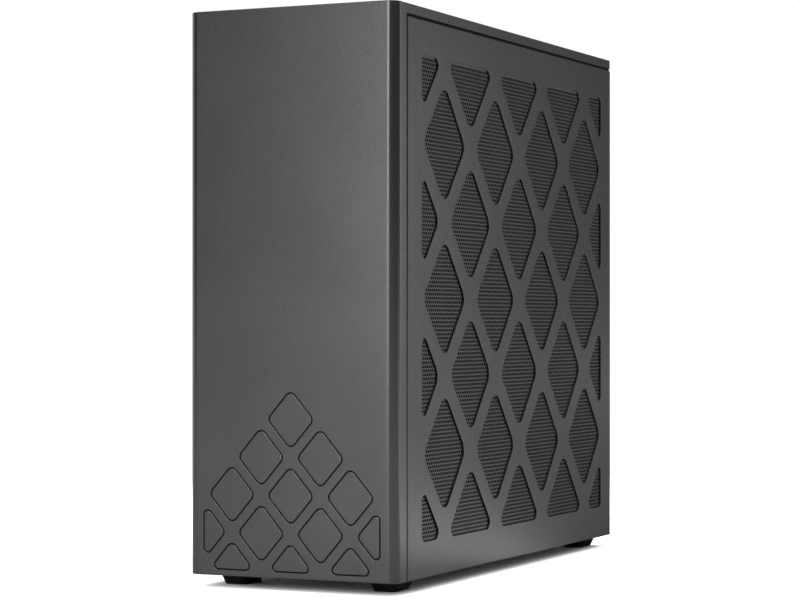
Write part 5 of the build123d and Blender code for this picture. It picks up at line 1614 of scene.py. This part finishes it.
@dataclass
class FinStack:
    """Thin folded fins soldered to a cold plate."""

    plate_thickness: float = 2.0 * MM
    pitch: float = 1.5 * MM
    thickness: float = 0.3 * MM
    lip: float = 1.1 * MM
    margin: float = 1.0 * MM
    overlap: float = 0.2 * MM
    plate_edge: float = 0.3 * MM

    def build(self) -> None:
        """Lay out all fins and their folded lips as arrays of corners beside the plate."""
        low, high = node_box("heatsink")
        skin = Skin()
        face = high[0] - self.plate_thickness
        z = np.arange(low[2] + self.margin, high[2] - self.margin - self.lip, self.pitch)
        count = len(z)
        column = np.ones(count)
        fin_low = np.stack([low[0] * column, low[1] * column, z], axis=1)
        fin_high = np.stack([(face + self.overlap) * column, high[1] * column, z + self.thickness], axis=1)
        lip_low = fin_low + np.array([0, 0, self.thickness])
        lip_high = np.stack([(low[0] + self.thickness) * column, high[1] * column, z + self.lip], axis=1)
        skin.boxes(np.concatenate([fin_low, lip_low]), np.concatenate([fin_high, lip_high]))
        made = piece("heatsink_fins", skin.mesh("heatsink_fins"), "heatsink")
        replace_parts(made, "heatsink")
        plate = Skin(facing("+X", (face, 0, 0)))
        outline = rectangle((low[1], low[2]), (high[1], high[2]))
        plate.plate([outline], 0.0, self.plate_thickness, self.plate_edge)
        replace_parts(piece("heatsink_cold_plate", plate.mesh("heatsink_cold_plate"), "heatsink"), "heatsink")


# ---------------------------------------------------------------- parts on the boards
@dataclass(frozen=True)
class BoardParts:
    """Small parts in rows on one board: chips, chokes, cans and pin headers.

    Places are given in the board's working frame, with w out of the board's face.
    """

    name: str
    node: str
    axes: Axes
    chips: tuple[tuple[float, float, float], ...] = ()
    chokes: tuple[tuple[float, float], ...] = ()
    cans: tuple[tuple[float, float], ...] = ()
    headers: tuple[tuple[float, float, int], ...] = ()
    chip_height: float = 1.3 * MM
    chip_corner: float = 0.3 * MM
    chip_edge: float = 0.2 * MM
    choke_size: float = 7.0 * MM
    choke_height: float = 4.2 * MM
    choke_corner: float = 1.2 * MM
    choke_edge: float = 0.4 * MM
    can_radius: float = 2.6 * MM
    can_height: float = 7.0 * MM
    can_edge: float = 0.5 * MM
    can_waist: float = 0.182 * MM
    waist_heights: tuple[float, float, float] = (1.9 * MM, 1.6 * MM, 1.3 * MM)
    can_dent: float = 0.15 * MM
    can_dent_share: float = 0.8
    can_steps: int = 32
    block_height: float = 2.5 * MM
    block_edge: float = 0.2 * MM
    pin_pitch: float = 2.54 * MM
    pin_width: float = 0.64 * MM
    pin_foot: float = 2.3 * MM
    pin_length: float = 5.7 * MM

    def rows(self, skin: Skin, finish: Finish, suffix: str) -> None:
        """Put one kind of part in the scene."""
        if skin.points:
            name = f"{self.name}_{suffix}"
            piece(name, skin.mesh(name), self.node, finish)

    def build(self) -> None:
        """Build each kind of part as one piece."""
        chips, chokes, cans = Skin(self.axes), Skin(self.axes), Skin(self.axes)
        blocks, pins = Skin(self.axes), Skin(self.axes)
        for u, v, size in self.chips:
            half = size / 2
            body = rectangle((u - half, v - half), (u + half, v + half))
            chips.plate([rounded_loop(body, self.chip_corner, 3)], 0.0, self.chip_height, self.chip_edge)
        half = self.choke_size / 2
        for u, v in self.chokes:
            body = rectangle((u - half, v - half), (u + half, v + half))
            chokes.plate([rounded_loop(body, self.choke_corner, 4)], 0.0, self.choke_height, self.choke_edge)
        inset, drop = quarter(self.can_edge, 4)
        for u, v in self.cans:
            rim = np.stack([self.can_radius - inset, self.can_height - drop], axis=1)
            radii = self.can_radius, self.can_radius - self.can_waist, self.can_radius
            waist = list(zip(radii, self.waist_heights))
            face = self.can_height - self.can_dent
            top = [(0, face), (self.can_radius * self.can_dent_share, face)]
            profile = np.concatenate([top, rim, waist, [(self.can_radius, 0), (0, 0)]])
            cans.turned(profile, (u, v), self.can_steps)
        for u, v, count in self.headers:
            length = count * self.pin_pitch
            body = rectangle((u, v), (u + length, v + 2 * self.pin_pitch))
            blocks.plate([body], 0.0, self.block_height, self.block_edge)
            column = u + (np.arange(count) + 0.5) * self.pin_pitch
            row = v + np.array([0.5, 1.5]) * self.pin_pitch
            across, up = (grid.ravel() for grid in np.meshgrid(column, row))
            foot = np.full_like(across, self.pin_foot)
            low = np.stack([across - self.pin_width / 2, up - self.pin_width / 2, foot], axis=1)
            pins.boxes(low, low + np.array([self.pin_width, self.pin_width, self.pin_length]))
        self.rows(chips, BLACK_PLASTIC, "chips")
        self.rows(chokes, SHROUD_PLASTIC, "chokes")
        self.rows(cans, LID_METAL, "cans")
        self.rows(blocks, BLACK_PLASTIC, "headers")
        self.rows(pins, PIN_METAL, "pins")


def board_parts() -> None:
    """Fit out the baseboard and the board of the top sockets."""
    low, high = node_box("baseboard")
    column = np.linspace(low[1] + 18 * MM, high[1] - 22 * MM, 9)
    base = BoardParts(
        "baseboard",
        "baseboard",
        facing("+Z", (0, 0, high[2])),
        chips=tuple((16 * MM, y, 9 * MM) for y in column[1::3]) + ((-38 * MM, column[4], 12 * MM),),
        chokes=tuple((36 * MM, y) for y in column),
        cans=tuple((44.5 * MM, y) for y in column) + tuple((-45 * MM, y) for y in column[::2]),
        headers=((2 * MM, low[1] + 4 * MM, 12), (-44 * MM, low[1] + 4 * MM, 5)),
    )
    base.build()
    low, high = node_box("io_board")
    BoardParts(
        "io_board",
        "io_board",
        facing("+Z", (0, 0, high[2])),
        chips=((9 * MM, low[1] + 4.5 * MM, 5 * MM), (-27 * MM, high[1] - 5 * MM, 4 * MM)),
        headers=((-9 * MM, high[1] - 7.5 * MM, 6),),
    ).build()


# ---------------------------------------------------------------- nodes that keep their shape
def dress_nodes() -> None:
    """Give every node of the frame the finish of its slot."""
    for name, node in frame["nodes"].items():
        finish = FINISHES[NODE_SLOTS[name]]
        node.data.materials.clear()
        node.data.materials.append(finish.material())


# ---------------------------------------------------------------- studio
@dataclass(frozen=True)
class Softbox:
    """A flat studio light that covers a span of the view from the case.

    Turns are degrees from the front towards the right side, and rises are degrees above the
    floor. The light stands upright at its distance, and its power is its radiance times pi
    times its area.
    """

    name: str
    turns: tuple[float, float]
    rises: tuple[float, float]
    radiance: float
    distance: float = 5.0

    def build(self) -> None:
        """Hang the light, turned towards the case."""
        data = bpy.data.lights.new(self.name, "AREA")
        data.shape = "RECTANGLE"
        turn = np.radians(sum(self.turns) / 2)
        low, high = self.distance * np.tan(np.radians(self.rises))
        data.size = 2 * self.distance * np.tan(np.radians(np.ptp(self.turns) / 2))
        data.size_y = high - low
        data.energy = self.radiance * np.pi * data.size * data.size_y
        lamp = bpy.data.objects.new(self.name, data)
        lamp.location = (self.distance * np.sin(turn), -self.distance * np.cos(turn), (low + high) / 2)
        lamp.rotation_euler = (np.pi / 2, 0, turn)
        lamp.visible_camera = False
        bpy.context.scene.collection.objects.link(lamp)


@dataclass
class Studio:
    """Camera, floor, background and lights.

    A white backdrop stands around the left and the rear, and gloss and glass show it. The
    ceiling is white too, and the walls get dimmer towards the floor on the front and the
    right, so that the soft boxes draw their gradients over the case.
    """

    camera_place: tuple[float, float, float] = (0.6136, -1.3377, 0.1491)
    camera_turn: float = 25.068
    lens: float = 107.69
    sensor: float = 36.0
    shift: float = 0.0268
    floor_half: float = 6.0
    floor_steps: int = 9
    floor_colour: float = 0.8
    # Painted light and shade on the floor, seen by gloss only: its colour beside the case on the right, and
    # behind it.
    floor_seen: float = 2.8
    floor_bright: float = 1.6
    floor_right: tuple[float, float] = (0.0, 0.4)
    floor_dim: float = 0.3
    floor_rear: tuple[float, float] = (0.68, 0.95)
    wall_foot: float = 0.1
    wall_rise: tuple[float, float] = (0.1, 0.9)
    backdrop_turn: float = -128.0
    backdrop_reach: tuple[float, float] = (0.55, 0.7)
    floor_fade: tuple[float, float] = (0.45, 0.9)
    floor_mirror_fade: tuple[float, float] = (0.7, 1.6)
    lights: tuple[Softbox, ...] = (
        Softbox("strip_low", (-20.0, -12.0), (0.5, 12.0), 7.6),
        Softbox("strip_high", (-12.0, -4.0), (12.0, 35.0), 15.0),
        Softbox("rear_strip", (142.0, 150.0), (0.5, 12.0), 2.7),
    )

    def camera(self) -> None:
        """Camera with its line of sight level and its shift from the framing."""
        data = bpy.data.cameras.new("camera")
        data.lens = self.lens
        data.sensor_width = self.sensor
        data.shift_y = self.shift
        view = bpy.data.objects.new("camera", data)
        view.location = self.camera_place
        view.rotation_euler = (np.pi / 2, 0, np.radians(self.camera_turn))
        bpy.context.scene.collection.objects.link(view)
        bpy.context.scene.camera = view

    def middle(self) -> tuple[float, float, float]:
        """Direction from the case to the middle of the backdrop."""
        turn = np.radians(self.backdrop_turn)
        return np.sin(turn), -np.cos(turn), 0

    def world(self) -> None:
        """White background to the camera, and a white ceiling and backdrop to all other rays.

        The walls' brightness goes with the height of a direction, and the backdrop is where a
        direction's product with the backdrop's own middle direction is high.
        """
        world = bpy.data.worlds.new("studio")
        bpy.context.scene.world = world
        world.use_nodes = True
        wiring = Wiring("studio_world", world.node_tree)
        direction = wiring.node("ShaderNodeTexCoord").outputs["Generated"]
        height = wiring.node("ShaderNodeSeparateXYZ", None, _0=direction).outputs[2]
        behind = wiring.step(wiring.dot(direction, self.middle()), *self.backdrop_reach)
        wall = wiring.mix(wiring.step(height, *self.wall_rise), self.wall_foot, 1.0)
        rays = wiring.rays()
        seen = wiring.math("MAXIMUM", rays["camera"], wiring.math("MULTIPLY", rays["gloss"], behind))
        strength = wiring.mix(seen, wiring.math("MAXIMUM", behind, wall), 1.0)
        light = wiring.node("ShaderNodeBackground", None, _0=(1, 1, 1, 1), _1=strength)
        wiring.tree.links.new(light.outputs[0], wiring.output.inputs[0])

    def floor(self) -> None:
        """White floor that keeps the case's shadow and runs into the white background.

        Near the case, the camera sees paper that is bright enough to be white in plain light,
        and that darkens where the case shades it. Further away it gives way to plain white,
        which gloss and glass show behind the case only. For gloss, painted light and painted shade
        are put in the paper's colour: brighter beside the case and darker behind it.
        """
        edge = self.floor_half
        skin = Skin()
        place = np.linspace(-edge, edge, self.floor_steps)
        u, v = np.meshgrid(place, place, indexing="ij")
        skin.grid(np.stack([u, v, np.zeros_like(u)], axis=-1))
        ground = bpy.data.objects.new("floor", skin.mesh("floor", turn_out=False))
        bpy.context.scene.collection.objects.link(ground)
        wiring = Wiring("floor_white")
        rays = wiring.rays()
        length = wiring.node("ShaderNodeVectorMath", {"operation": "LENGTH"}, _0=wiring.places)
        depth = wiring.node("ShaderNodeSeparateXYZ", None, _0=wiring.places).outputs[1]
        turn = wiring.math("DIVIDE", depth, length.outputs[1])
        # Painted light and painted shade: for gloss the paper's colour is raised on the right of the case and
        # lowered behind it.
        right = wiring.mix(wiring.step(turn, *self.floor_right), self.floor_colour, self.floor_bright)
        mirrored = wiring.mix(wiring.step(turn, *self.floor_rear), right, self.floor_dim)
        plain = wiring.mix(rays["gloss"], self.floor_colour, mirrored)
        tint = wiring.mix(rays["camera"], plain, self.floor_seen)
        paper = wiring.node("ShaderNodeBsdfDiffuse", None, _0=tint)
        white = wiring.node("ShaderNodeEmission", None, _0=(1, 1, 1, 1), _1=1.0)
        away = wiring.step(length.outputs[1], *self.floor_fade)
        beyond = wiring.step(wiring.dot(wiring.places, self.middle()), *self.floor_mirror_fade)
        behind = wiring.math("MULTIPLY", rays["gloss"], beyond)
        seen = wiring.math("MAXIMUM", rays["camera"], behind)
        share = wiring.math("MULTIPLY", away, seen)
        mix = wiring.node("ShaderNodeMixShader", None, _0=share, _1=paper.outputs[0], _2=white.outputs[0])
        wiring.tree.links.new(mix.outputs[0], wiring.output.inputs[0])
        wiring.material.cycles.emission_sampling = "NONE"
        ground.data.materials.append(wiring.material)

    def build(self) -> None:
        """Set up the whole studio."""
        bpy.context.scene.view_settings.view_transform = "Standard"
        self.camera()
        self.world()
        self.floor()
        for light in self.lights:
            light.build()


def main() -> None:
    """Build the looks in order and report each piece."""
    logging.basicConfig(level=logging.INFO, format="%(message)s")
    Studio().build()
    dress_nodes()
    Case().build()
    Feet().build()
    for place in ("front", "middle", "rear"):
        Fan(f"fan_frame_{place}", f"fan_rotor_{place}", "+Z", size=92.0 * MM).build()
    Fan("psu_fan_frame", "psu_fan_rotor", "+X", size=80.0 * MM, blades=7).build()
    for part in (GapShadeStrips(), PowerButton(), ThumbScrews(), FanGuard(), BlowerWheel(), FinStack()):
        part.build()
    board_parts()


if __name__ == "__main__":
    main()
